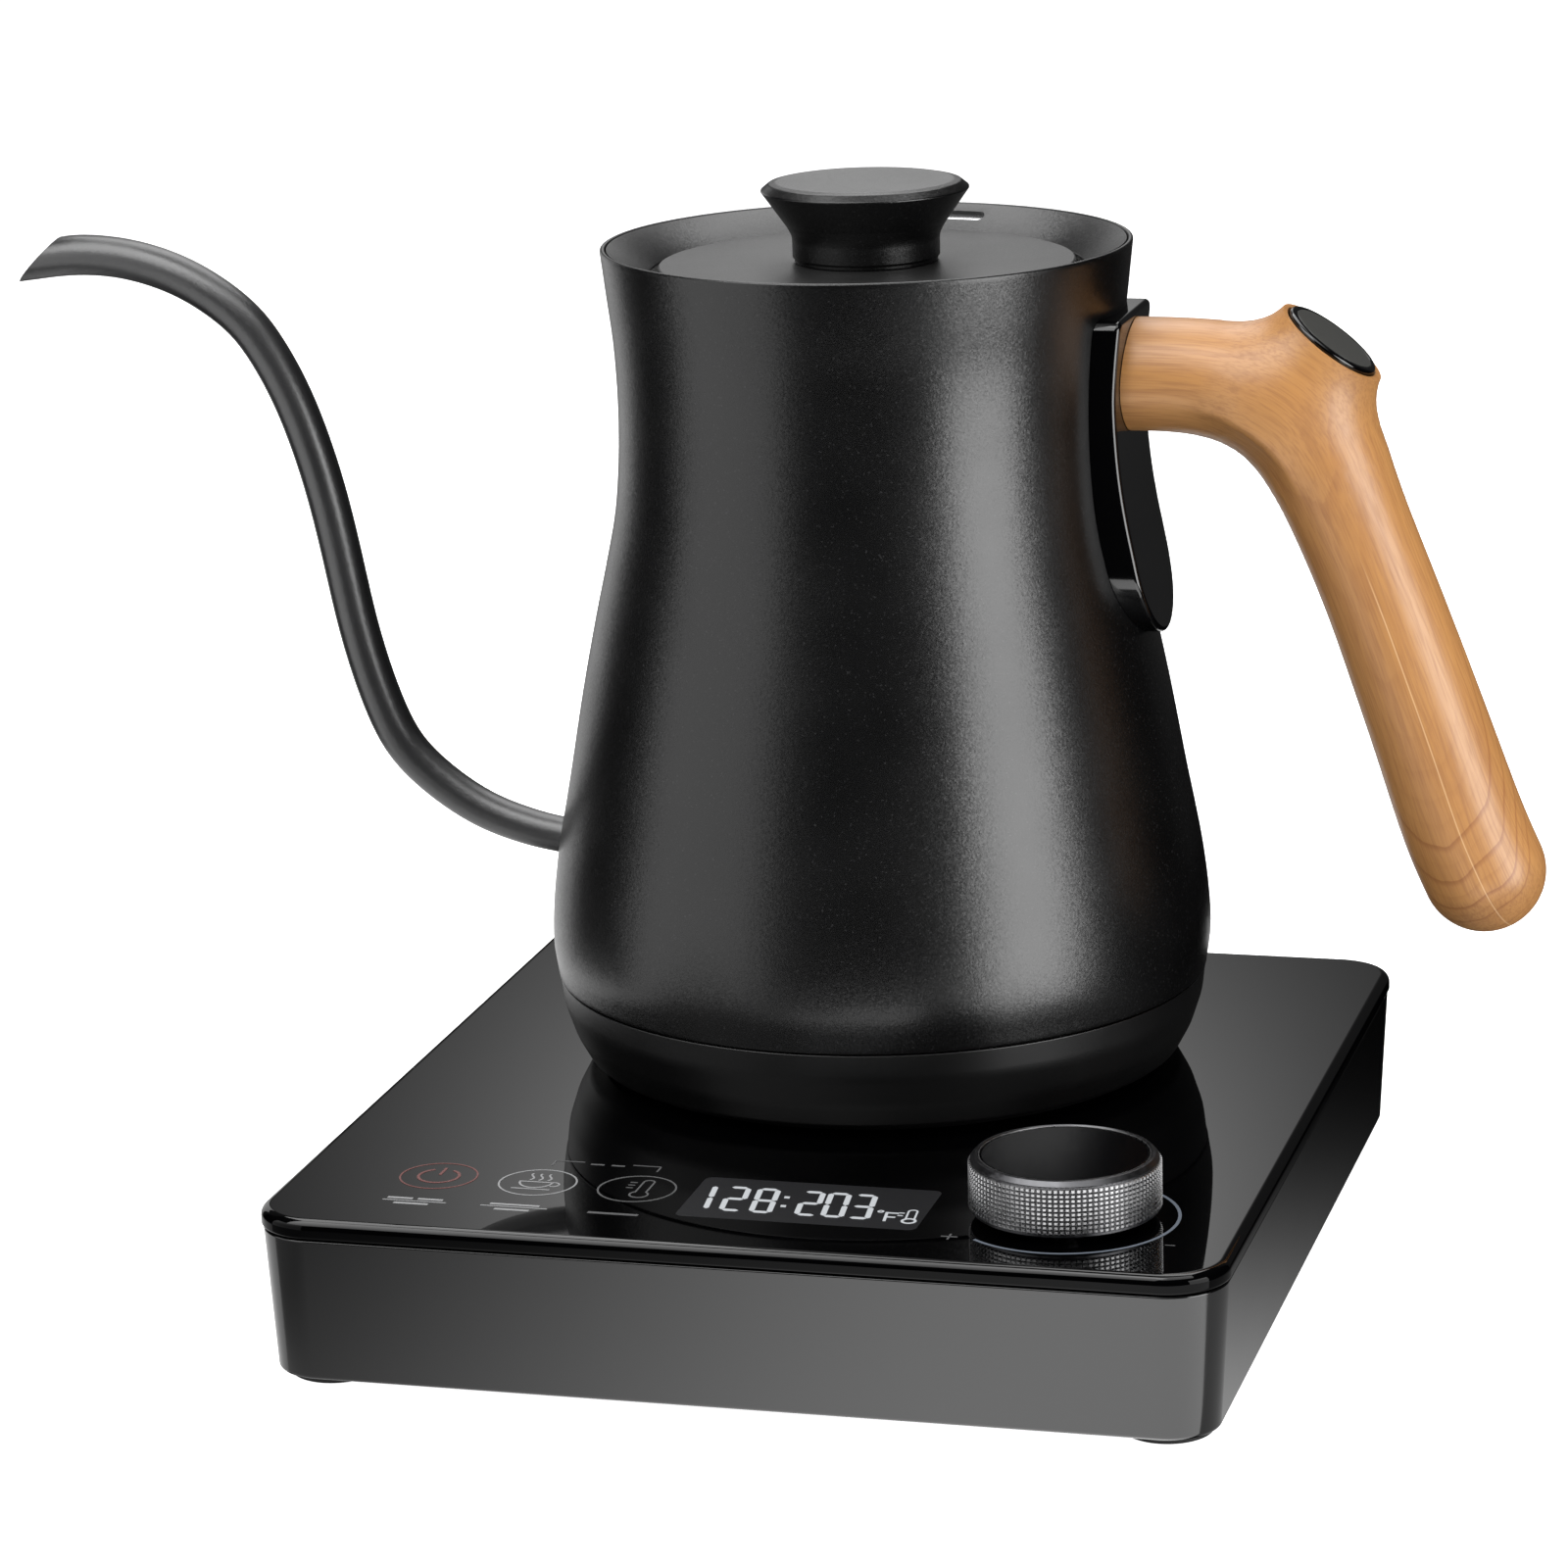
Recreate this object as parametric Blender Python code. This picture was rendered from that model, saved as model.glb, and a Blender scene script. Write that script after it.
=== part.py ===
"""Gooseneck electric kettle on its powered glass-topped base.

Metres, +Z up. The origin is on the floor, under the middle of the whole object. The spout points to -X,
the handle to +X and the controls of the base are on the -Y side. Kettle pieces are modelled about the
kettle's own axis with z = 0 on the glass, and hang from the empty "kettle_frame".
"""

import math

import bmesh
import bpy
from mathutils import Vector

# ---- driving dimensions ----------------------------------------------------------------------------------
GAP = 0.0003                 # clearance kept between touching pieces

BASE_WIDTH = 0.180           # along X
BASE_DEPTH = 0.199           # along Y
BASE_CORNER = 0.0115         # corner radius seen from above
GLASS_TOP = 0.033            # height of the glass surface above the floor
GLASS_THICKNESS = 0.0036
FOOT_HEIGHT = 0.0017
FOOT_RADIUS = 0.0085
HOUSING_DRAFT = 0.0019       # how much the housing narrows on each side from the glass to the floor
HOUSING_TOP_INSET = 0.0005   # the housing stops this far inside the glass edge
HOUSING_WALL = 0.0024
DECK_THICKNESS = 0.0020

SPOUT_REACH = 0.1740         # kettle axis to the beak
HANDLE_REACH = 0.1303        # kettle axis to the lowest, outermost point of the grip
FRONT_REACH = 0.1210         # kettle axis to the front edge of the glass
AXIS_X = (SPOUT_REACH - HANDLE_REACH) / 2
AXIS_Y = FRONT_REACH - BASE_DEPTH / 2

SEAM_Z = 0.0181              # joint between the steel body and the lower skirt, above the glass
RIM_Z = 0.1610
SHELL_WALL = 0.0010
LID_RADIUS = 0.0399
LID_THICKNESS = 0.0013
LID_TOP_Z = 0.1572
KNOB_TOP_Z = 0.1727
LID_SCREW_HOLE = 0.0019      # radius

DIAL_X = 0.0566              # rotary knob of the base, from the kettle axis
DIAL_Y = -0.0924
DIAL_RADIUS = 0.0174
DIAL_FOOT_Z = 0.0014
DIAL_TOP_Z = 0.0120
DIAL_CHAMFER = 0.0010
DIAL_CAP_RADIUS = 0.0152
DIAL_BORE = 0.0155           # inner radius of the knurled ring
SHAFT_RADIUS = 0.0030
SHAFT_CLEARANCE = 0.0003

BASE_MIDDLE_Y = BASE_DEPTH / 2 - FRONT_REACH       # middle of the base, from the kettle axis
DECK_TOP = -GLASS_THICKNESS - GAP                  # upper face of the housing, under the glass
DECK_LOW = DECK_TOP - DECK_THICKNESS
HOUSING_LOW = FOOT_HEIGHT - GLASS_TOP
COVER_TOP = HOUSING_LOW + 0.0022                   # upper face of the bottom cover
BOARD_THICKNESS = 0.0016
BOARD_TOP = -0.0142                                # upper face of the control board
CONNECTOR_RADIUS = 0.0167
TOUCH_PLACES = {"power": (-0.0620, -0.0921), "heat": (-0.0428, -0.0923), "hold": (-0.0237, -0.0925)}
DISPLAY_PLACE = (0.0095, -0.0944)
DISPLAY_SIZE = (0.0454, 0.0250)
LIGHT_RING = (0.0197, 0.0221)                      # inner and outer radius, round the dial
SCREW_SPREAD = (0.0795, 0.0520)                    # from the middle of the base, along X and Y
FOOT_SPREAD = (0.0780, 0.0865)
CORNERS = [(sx, sy) for sx in (-1, 1) for sy in (-1, 1)]
SCREW_PLACES = [(sx * SCREW_SPREAD[0], BASE_MIDDLE_Y + sy * SCREW_SPREAD[1]) for sx, sy in CORNERS]
FOOT_PLACES = [(sx * FOOT_SPREAD[0], BASE_MIDDLE_Y + sy * FOOT_SPREAD[1]) for sx, sy in CORNERS]
BOARD_POSTS = [(-0.0715, -0.1135), (0.0715, -0.1135), (-0.0300, -0.0765), (0.0300, -0.0765)]
GLAND_PLACE = (-0.0550, 0.0756, -0.0180)
STUD_RING = 0.048                                  # radius on which the three underside screws sit
STUD_PLACES = [(STUD_RING * math.cos(a), STUD_RING * math.sin(a))
               for a in (math.radians(d) for d in (30, 150, 270))]

ARM_Z = 0.1364               # centre height of the handle's upper arm
BOLT_HOLE = 0.0024           # radius
BOLT_HEAD_POCKET = 0.0044

# ---- colours: base colour, roughness, metallic ------------------------------------------------------------
FINISH = {
    "black_coat": ((0.022, 0.022, 0.023), 0.42, 0.0),
    "steel": ((0.62, 0.62, 0.63), 0.28, 1.0),
    "black_plastic": ((0.018, 0.018, 0.019), 0.45, 0.0),
    "gloss_black": ((0.008, 0.008, 0.009), 0.12, 0.0),
    "wood": ((0.62, 0.37, 0.17), 0.40, 0.0),
    "glass": ((0.006, 0.006, 0.007), 0.04, 0.0),
    "housing": ((0.045, 0.045, 0.047), 0.30, 0.0),
    "knurled": ((0.48, 0.48, 0.49), 0.30, 1.0),
    "rubber": ((0.03, 0.03, 0.03), 0.80, 0.0),
    "silicone": ((0.75, 0.75, 0.74), 0.60, 0.0),
    "aluminium": ((0.70, 0.70, 0.71), 0.40, 1.0),
    "circuit_board": ((0.03, 0.16, 0.07), 0.50, 0.0),
    "nylon": ((0.80, 0.79, 0.75), 0.50, 0.0),
    "display": ((0.02, 0.02, 0.02), 0.15, 0.0),
    "light_guide": ((0.80, 0.82, 0.85), 0.25, 0.0),
    "blue_plastic": ((0.05, 0.12, 0.35), 0.45, 0.0),
}

# ---- curves ----------------------------------------------------------------------------------------------
# Outer profile of the steel body: (height above the glass, radius).
BODY_PROFILE = (
    (0.0184, 0.0637), (0.0262, 0.0646), (0.040, 0.0634), (0.058, 0.0601), (0.075, 0.0570), (0.089, 0.0541),
    (0.100, 0.0516), (0.110, 0.0496), (0.121, 0.0486), (0.132, 0.0484), (0.143, 0.0489), (0.152, 0.0499),
    (0.161, 0.0509),
)
# Spout centreline in the plane y = 0: (x, z, outer radius), from inside the body to the beak.
SPOUT_PATH = (
    (-0.0605, 0.0403, 0.0036), (-0.0660, 0.0410, 0.0036), (-0.0725, 0.0423, 0.0037),
    (-0.0830, 0.0460, 0.0038), (-0.0943, 0.0542, 0.0039), (-0.1005, 0.0631, 0.0040),
    (-0.1059, 0.0800, 0.0040), (-0.1090, 0.0963, 0.0040), (-0.1123, 0.1117, 0.0040),
    (-0.1172, 0.1268, 0.0040), (-0.1229, 0.1378, 0.0040), (-0.1287, 0.1449, 0.0040),
    (-0.1391, 0.1516, 0.0040), (-0.1507, 0.1552, 0.0040), (-0.1610, 0.1559, 0.0040),
    (-0.1697, 0.1549, 0.0039),
)
SPOUT_WALL = 0.0008
BEAK_SLANT = 1.30            # how far the beak's end face leans, as a slope
LEAN_REACH = 0.016           # length over which the spout's rings lean into that end face
# Handle centreline in the plane y = 0: (x, z, radius), from the bracket, round the elbow, to the grip's end.
GRIP_PATH = (
    (0.0529, 0.1364, 0.0108), (0.0600, 0.1364, 0.0108), (0.0685, 0.1356, 0.0112), (0.0765, 0.1331, 0.0125),
    (0.0832, 0.1281, 0.0136), (0.0880, 0.1205, 0.0123), (0.0920, 0.1115, 0.0110), (0.0985, 0.0963, 0.0108),
    (0.1040, 0.0813, 0.0111), (0.1094, 0.0662, 0.0114), (0.1146, 0.0510, 0.0118), (0.1186, 0.0420, 0.0118),
)
GRIP_HALF_DEPTH = 0.0118     # the elbow is thicker in the plane of the handle than across it
BRACKET_FRONT = (            # (height, x) of the bracket's front face
    (0.0850, 0.0584), (0.0920, 0.0570), (0.0980, 0.0557), (0.1040, 0.0545), (0.1100, 0.0533),
    (0.1170, 0.0522), (0.1240, 0.0515), (0.1330, 0.0511), (0.1400, 0.0515), (0.1488, 0.0524),
)
BRACKET_HALF_WIDTH = 0.0148
STUD_HEIGHTS = (0.1150, 0.0990)
STUD_RADIUS = 0.0020
BRACKET_LOW_Z = 0.0868
BRACKET_HIGH_Z = 0.1486
CAP_CENTRE = Vector((0.0895, 0.0, 0.1432))
CAP_NORMAL = Vector((0.605, 0.0, 0.796)).normalized()
CAP_RADIUS = 0.0098
CAP_STEM_RADIUS = 0.0030
CAP_DEPTH = 0.0015           # thickness of the cap's disc
CAP_STEM_DEPTH = 0.0075
STUB_RADIUS = 0.0110
CONE_LOW = (0.0415, 0.1559)  # (radius, height) at the inner edge of the collar's conical face
CONE_HIGH = (0.0492, 0.1609)
SLOT_LENGTH = 0.0256         # steam slot in the collar
SLOT_HEIGHT = 0.0026
SLOT_RADIUS = 0.0465
BEARING_RADIUS = 0.0155      # clear radius inside the kettle's connector
SKIRT_PROFILE = (            # (radius, height), closed
    (0.0635, 0.0178), (0.0628, 0.0130), (0.0610, 0.0075), (0.0585, 0.0028), (0.0555, 0.0011),
    (0.0535, 0.0011), (0.0535, 0.0050), (0.0592, 0.0105), (0.0612, 0.0178),
)
CUP_PROFILE = (              # strainer cup under the lid: (radius, height), closed
    (0.0393, 0.1556), (0.0393, 0.1546), (0.0366, 0.1546), (0.0360, 0.1465), (0.0352, 0.1456),
    (0.0019, 0.1456), (0.0019, 0.1464), (0.0346, 0.1464), (0.0352, 0.1472), (0.0357, 0.1548),
    (0.0361, 0.1556),
)
KNOB_PROFILE = (             # lid knob from its foot up to its brim: (radius, height)
    (0.0137, 0.1580), (0.0141, 0.1583), (0.0141, 0.1622), (0.0145, 0.1633), (0.0156, 0.1648),
    (0.0196, 0.1706), (0.0200, 0.1714),
)
KNOB_BORE = (0.0018, 0.1664, 0.1668)   # radius, height of its wall, height of its tip
GLAND_PROFILE = (            # (radius, place along its axis), closed
    (0.0033, -0.0045), (0.0060, -0.0045), (0.0060, -0.0021), (0.0045, -0.0021), (0.0045, 0.0017),
    (0.0056, 0.0017), (0.0056, 0.0023), (0.0033, 0.0023),
)
KETTLE_CONNECTOR_PROFILE = (
    (0.0212, 0.0016), (0.0212, 0.0039), (0.0240, 0.0039), (0.0240, 0.0054), (0.0212, 0.0054),
    (0.0205, 0.0135), (0, 0.0135), (0, 0.0068), (0.0016, 0.0068), (0.0016, 0.0120), (0.0070, 0.0120),
    (0.0070, 0.0074), (0.0086, 0.0074), (0.0086, 0.0120), (BEARING_RADIUS, 0.0120),
    (BEARING_RADIUS, 0.0016),
)
BASE_CONNECTOR_PROFILE = (
    (0, 0.0058), (0.0022, 0.0058), (0.0022, 0.0112), (0.0064, 0.0112), (0.0064, 0.0066), (0.0092, 0.0066),
    (0.0092, 0.0112), (0.0144, 0.0112), (0.0150, 0.0106), (0.0150, 0.0008), (CONNECTOR_RADIUS, 0.0008),
    (CONNECTOR_RADIUS, DECK_LOW - GAP), (0.0210, DECK_LOW - GAP), (0.0210, DECK_LOW - 0.0018),
    (0.0155, DECK_LOW - 0.0018), (0.0155, -0.0190), (0, -0.0190),
)


def smooth_curve(points, steps):
    """Points along a Catmull-Rom curve that passes through every given point."""
    given = [Vector(p) for p in points]
    first = given[0] * 2 - given[1]
    last = given[-1] * 2 - given[-2]
    padded = [first, *given, last]
    out = []
    for i in range(1, len(padded) - 2):
        a, b, c, d = padded[i - 1:i + 3]
        for step in range(steps):
            t = step / steps
            out.append(0.5 * ((2 * b) + (c - a) * t + (2 * a - 5 * b + 4 * c - d) * t ** 2
                              + (3 * b - a - 3 * c + d) * t ** 3))
    out.append(given[-1])
    return out


def value_at(table, key):
    """Smooth value read from rising (key, value) pairs."""
    i = 1
    while i < len(table) - 1 and key > table[i][0]:
        i += 1
    before = table[max(i - 2, 0)]
    low, high = table[i - 1], table[i]
    after = table[min(i + 1, len(table) - 1)]
    span = high[0] - low[0]
    t = min(max((key - low[0]) / span, 0.0), 1.0)
    slope_low = (high[1] - before[1]) / (high[0] - before[0]) * span
    slope_high = (after[1] - low[1]) / (after[0] - low[0]) * span
    return ((2 * t ** 3 - 3 * t ** 2 + 1) * low[1] + (t ** 3 - 2 * t ** 2 + t) * slope_low
            + (3 * t ** 2 - 2 * t ** 3) * high[1] + (t ** 3 - t ** 2) * slope_high)


def body_radius(z):
    return value_at(BODY_PROFILE, z)


# ---- scene helpers ---------------------------------------------------------------------------------------
def clear_scene():
    for obj in list(bpy.data.objects):
        bpy.data.objects.remove(obj, do_unlink=True)


def material(finish):
    found = bpy.data.materials.get(finish)
    if found:
        return found
    colour, roughness, metallic = FINISH[finish]
    made = bpy.data.materials.new(finish)
    made.use_nodes = True
    shader = made.node_tree.nodes["Principled BSDF"]
    shader.inputs["Base Color"].default_value = (*colour, 1.0)
    shader.inputs["Roughness"].default_value = roughness
    shader.inputs["Metallic"].default_value = metallic
    return made


def empty(name, location, parent=None):
    obj = bpy.data.objects.new(name, None)
    bpy.context.scene.collection.objects.link(obj)
    obj.location = location
    obj.parent = parent
    return obj


def add(name, mesh_data, finish, parent, location=(0, 0, 0), smooth_angle=35):
    """Turn a bmesh into a named object with outward faces."""
    bmesh.ops.recalc_face_normals(mesh_data, faces=mesh_data.faces)
    if mesh_data.calc_volume(signed=True) < 0:
        bmesh.ops.reverse_faces(mesh_data, faces=mesh_data.faces)
    mesh = bpy.data.meshes.new(name)
    mesh_data.to_mesh(mesh)
    mesh_data.free()
    mesh.materials.append(material(finish))
    mesh.shade_smooth()
    mesh.set_sharp_from_angle(angle=math.radians(smooth_angle))
    obj = bpy.data.objects.new(name, mesh)
    bpy.context.scene.collection.objects.link(obj)
    obj.location = location
    obj.parent = parent
    return obj


def combine(target, tools, operation="DIFFERENCE"):
    """Cut the tools from the target, or join them to it; the tools stay as hidden guides."""
    for tool in tools:
        modifier = target.modifiers.new(tool.name, "BOOLEAN")
        modifier.operation = operation
        modifier.object = tool
        tool.hide_render = True
        tool.display_type = "WIRE"
    return target


# ---- shape helpers ---------------------------------------------------------------------------------------
def turned_mesh(outline, sides):
    """A closed outline of (radius, z) points turned about Z; a radius of 0 makes a pole."""
    bm = bmesh.new()
    rings = []
    for radius, z in outline:
        if radius == 0:
            rings.append([bm.verts.new((0, 0, z))])
            continue
        turns = (2 * math.pi * i / sides for i in range(sides))
        rings.append([bm.verts.new((radius * math.cos(a), radius * math.sin(a), z)) for a in turns])
    for low, high in zip(rings, rings[1:] + rings[:1]):
        if len(low) == 1 and len(high) == 1:
            continue
        for i in range(sides):
            j = (i + 1) % sides
            corners = [low[i % len(low)], low[j % len(low)], high[j % len(high)], high[i % len(high)]]
            bm.faces.new(list(dict.fromkeys(corners)))
    return bm


def turned(name, outline, finish, parent, location=(0, 0, 0), sides=32):
    return add(name, turned_mesh(outline, sides), finish, parent, location)


def chamfered_disc(radius, low, high, chamfer):
    """Outline of a solid round piece with chamfered edges, for turned()."""
    return [(0, high), (radius - chamfer, high), (radius, high - chamfer), (radius, low + chamfer),
            (radius - chamfer, low), (0, low)]


def plain_disc(radius, low, high):
    return [(0, high), (radius, high), (radius, low), (0, low)]


def ring_outline(inner, outer, low, high):
    return [(outer, high), (outer, low), (inner, low), (inner, high)]


def rounded_rectangle(width, depth, corner, steps=5):
    points = []
    for quarter in range(4):
        sign_x = (1, -1, -1, 1)[quarter]
        sign_y = (1, 1, -1, -1)[quarter]
        for step in range(steps + 1):
            angle = math.pi / 2 * (quarter + step / steps)
            points.append((sign_x * (width / 2 - corner) + corner * math.cos(angle),
                           sign_y * (depth / 2 - corner) + corner * math.sin(angle)))
    return points


def stacked(name, layers, finish, parent, location=(0, 0, 0), size=(0.1, 0.1), corner=0.005, steps=5):
    """A rounded box built from (inset, z) layers, closed at both ends."""
    bm = bmesh.new()
    rings = []
    for inset, z in layers:
        radius = max(corner - inset, 0.0006)
        outline = rounded_rectangle(size[0] - 2 * inset, size[1] - 2 * inset, radius, steps)
        rings.append([bm.verts.new((x, y, z)) for x, y in outline])
    for low, high in zip(rings, rings[1:]):
        for i in range(len(low)):
            j = (i + 1) % len(low)
            bm.faces.new((low[i], low[j], high[j], high[i]))
    bm.faces.new(rings[0])
    bm.faces.new(rings[-1])
    return add(name, bm, finish, parent, location)


def block(name, size, centre, finish, parent, corner=0.0008):
    """A box with rounded vertical edges, given by its size and centre."""
    half = size[2] / 2
    return stacked(name, ((0, -half), (0, half)), finish, parent, centre, size[:2], corner, 2)


def rod(name, radius, start, end, finish, parent, sides=20):
    """A solid cylinder between two points."""
    start = Vector(start)
    end = Vector(end)
    length = (end - start).length
    obj = turned(name, plain_disc(radius, 0, length), finish, parent, start, sides)
    obj.rotation_euler = (end - start).to_track_quat("Z", "Y").to_euler()
    return obj


def swept_mesh(path, radii, sides, slant=0.0, half_depth=1.0):
    """Rings along a path in the plane y = 0; they lean more and more towards the slope of the end face."""
    bm = bmesh.new()
    rings = []
    left = [0.0]
    for here, ahead in zip(reversed(path[:-1]), reversed(path[1:])):
        left.append(left[-1] + (ahead - here).length)
    leans = [slant * max(1 - rest / LEAN_REACH, 0.0) for rest in reversed(left)]
    for i, point in enumerate(path):
        ahead = path[min(i + 1, len(path) - 1)] - path[max(i - 1, 0)]
        tangent = ahead.normalized()
        normal = Vector((tangent.z, 0, -tangent.x))
        ring = []
        for k in range(sides):
            angle = 2 * math.pi * k / sides
            along = normal * math.cos(angle) * radii[i]
            place = point + along + Vector((0, math.sin(angle) * min(radii[i], half_depth), 0))
            ring.append(bm.verts.new(place + tangent * leans[i] * radii[i] * math.cos(angle)))
        rings.append(ring)
    for low, high in zip(rings, rings[1:]):
        for k in range(sides):
            j = (k + 1) % sides
            bm.faces.new((low[k], low[j], high[j], high[k]))
    return bm, rings


# ---- kettle body -----------------------------------------------------------------------------------------
def kettle_shell(frame):
    low = BODY_PROFILE[0][0]
    steps = 13
    heights = [RIM_Z + (low - RIM_Z) * i / steps for i in range(steps + 1)]
    outline = [(body_radius(z), z) for z in heights]
    outline += [(body_radius(z) - SHELL_WALL, z) for z in reversed(heights)]
    shell = turned("kettle_shell", outline, "black_coat", frame)
    root, inward = Vector(SPOUT_PATH[1][:2]), Vector(SPOUT_PATH[0][:2])
    direction = (root - inward).normalized()
    start = inward - direction * 0.004
    end = root + direction * 0.004
    hole = rod("spout_hole_cutter", SPOUT_PATH[0][2] + GAP, (start.x, 0, start.y), (end.x, 0, end.y),
               "steel", frame, 24)
    return combine(shell, [hole])


def vessel_floor(frame):
    low = SEAM_Z + 0.0010
    thickness = 0.0012
    radius = body_radius(low) - SHELL_WALL - GAP
    return turned("vessel_floor", plain_disc(radius, low, low + thickness), "steel", frame)


def cone_height(radius):
    """Height of the collar's conical inner face at a radius."""
    slope = (CONE_HIGH[1] - CONE_LOW[1]) / (CONE_HIGH[0] - CONE_LOW[0])
    return CONE_LOW[1] + (radius - CONE_LOW[0]) * slope


def rim_collar(frame):
    outer = body_radius(0.160) - SHELL_WALL - GAP
    lower_outer = body_radius(0.158) - SHELL_WALL - GAP
    ledge, ledge_low, ledge_top = 0.0372, 0.1508, 0.1526       # the step that carries the lid seal
    outline = [(outer, CONE_HIGH[1] - 0.0002), CONE_HIGH, CONE_LOW, (CONE_LOW[0], ledge_top),
               (ledge, ledge_top), (ledge, ledge_low), (0.0426, ledge_low), (0.0440, 0.1545),
               (lower_outer, 0.1588)]
    collar = turned("rim_collar", outline, "black_coat", frame)
    slots = [slot_cutter("slot_cutter_back", 90, frame), slot_cutter("slot_cutter_front", 270, frame)]
    return combine(collar, slots)


def slot_cutter(name, middle_deg, frame):
    """A curved bar with round ends that follows the cone, to cut one steam slot."""
    slope = math.atan2(CONE_HIGH[1] - CONE_LOW[1], CONE_HIGH[0] - CONE_LOW[0])
    half = SLOT_HEIGHT / 2
    end = SLOT_LENGTH / 2
    depth = 0.004
    bm = bmesh.new()
    sections = []
    inner = [end * i / 5 for i in range(-4, 5)]
    caps = [end - half * (1 - c) for c in (0.50, 0.85, 0.98)]
    for along in [-c for c in reversed(caps)] + inner + caps:
        into_cap = max(abs(along) - (end - half), 0.0)
        height = math.sqrt(half ** 2 - into_cap ** 2)
        angle = math.radians(middle_deg) + along / SLOT_RADIUS
        ring = []
        for up, out in ((-1, -1), (1, -1), (1, 1), (-1, 1)):
            radius = SLOT_RADIUS + up * height * math.cos(slope) - out * depth * math.sin(slope)
            z = cone_height(SLOT_RADIUS) + up * height * math.sin(slope) + out * depth * math.cos(slope)
            ring.append(bm.verts.new((radius * math.cos(angle), radius * math.sin(angle), z)))
        sections.append(ring)
    for low, high in zip(sections, sections[1:]):
        for i in range(4):
            j = (i + 1) % 4
            bm.faces.new((low[i], low[j], high[j], high[i]))
    bm.faces.new(sections[0])
    bm.faces.new(sections[-1])
    return add(name, bm, "steel", frame)


def spout_tube(frame):
    path = smooth_curve([(x, 0, z) for x, z, _ in SPOUT_PATH], 2)
    radii = [p[0] for p in smooth_curve([(r, 0, 0) for _, _, r in SPOUT_PATH], 2)]
    sides = 12
    outer, _ = swept_mesh(path, radii, sides, -BEAK_SLANT)
    inner_radii = [r - SPOUT_WALL for r in radii]
    inner, _ = swept_mesh(path, inner_radii, sides, -BEAK_SLANT)
    keep = bpy.data.meshes.new("spout_bore")
    inner.to_mesh(keep)
    inner.free()
    count = len(outer.verts)
    outer.from_mesh(keep)
    bpy.data.meshes.remove(keep)
    outer.verts.ensure_lookup_table()
    for first in (0, count - sides):
        for k in range(sides):
            j = (k + 1) % sides
            a, b = outer.verts[first + k], outer.verts[first + j]
            outer.faces.new((a, b, outer.verts[count + first + j], outer.verts[count + first + k]))
    return add("spout_tube", outer, "black_coat", frame)


def base_skirt(frame):
    return turned("base_skirt", SKIRT_PROFILE, "black_plastic", frame)


def kettle_underside(frame):
    low = 0.0014
    head_seat = low + 0.0012
    outline = ring_outline(0.0216, 0.0532, low, low + 0.0022)
    cover = turned("kettle_underside", outline, "black_plastic", frame)
    stepped = [(0, 0.006), (0.0018, 0.006), (0.0018, head_seat), (0.0034, head_seat), (0.0034, 0), (0, 0)]
    cutters = [turned(f"underside_hole_cutter_{i}", stepped, "steel", frame, (x, y, 0), 16)
               for i, (x, y) in enumerate(STUD_PLACES, 1)]
    return combine(cover, cutters)


def heater_plate(frame):
    low = 0.0148
    plate = turned("heater_plate", plain_disc(0.052, low, low + 0.0040), "aluminium", frame)
    studs = []
    pilots = []
    for i, (x, y) in enumerate(STUD_PLACES, 1):
        studs.append(turned(f"heater_stud_{i}", plain_disc(0.0034, 0.0041, low + 0.0012), "aluminium", frame,
                            (x, y, 0), 16))
        pilots.append(turned(f"pilot_cutter_{i}", plain_disc(0.0017, 0.0030, 0.0110), "steel", frame,
                             (x, y, 0), 16))
    combine(plate, studs, "UNION")
    return combine(plate, pilots)


def heater_ring(frame):
    """Tubular heating element, an open ring with two straight legs."""
    major = 0.0400
    minor = 0.0031
    height = 0.0113
    curve = bpy.data.curves.new("heater_ring", "CURVE")
    curve.dimensions = "3D"
    curve.bevel_depth = minor
    curve.bevel_resolution = 1
    curve.use_fill_caps = True
    turns = [math.radians(20 + 320 * i / 24) for i in range(25)]
    spline = curve.splines.new("POLY")
    spline.points.add(len(turns) - 1)
    for point, angle in zip(spline.points, turns):
        point.co = (major * math.cos(angle), major * math.sin(angle), height, 1)
    curve.materials.append(material("steel"))
    obj = bpy.data.objects.new("heater_ring", curve)
    bpy.context.scene.collection.objects.link(obj)
    obj.parent = frame
    return obj


def kettle_connector(frame):
    return turned("kettle_connector", KETTLE_CONNECTOR_PROFILE, "black_plastic", frame, sides=32)


def screw_outline(head_radius, head_height, shank_radius, length):
    """A pan-head screw pointing up, head at the bottom from z = 0."""
    tip = head_height + length
    return [(0, tip), (shank_radius, tip - shank_radius), (shank_radius, head_height),
            (head_radius, head_height),
            (head_radius, head_height * 0.35), (head_radius * 0.75, 0), (0, 0)]


def kettle_insides(frame):
    vessel_floor(frame)
    heater_plate(frame)
    heater_ring(frame)
    probe = chamfered_disc(0.0024, 0.0075, 0.0145, 0.0004)
    turned("temperature_probe", probe, "steel", frame, (-0.030, 0, 0), 12)
    block("thermal_cutout", (0.012, 0.0068, 0.0060), (0, 0.0477, 0.0115), "black_plastic", frame)
    kettle_connector(frame)
    kettle_underside(frame)
    for i, (x, y) in enumerate(STUD_PLACES, 1):
        turned(f"underside_screw_{i}", screw_outline(0.0030, 0.0009, 0.0014, 0.0072), "steel", frame,
               (x, y, 0.0014), 10)


# ---- handle ----------------------------------------------------------------------------------------------
def bracket_width(z):
    """Half width of the bracket at a height: constant, with a round lower end."""
    reach = BRACKET_HALF_WIDTH
    lower = BRACKET_LOW_Z + reach
    if z >= lower:
        return reach
    return reach * math.sqrt(max(1 - ((lower - z) / reach) ** 2, 0.0))


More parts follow.
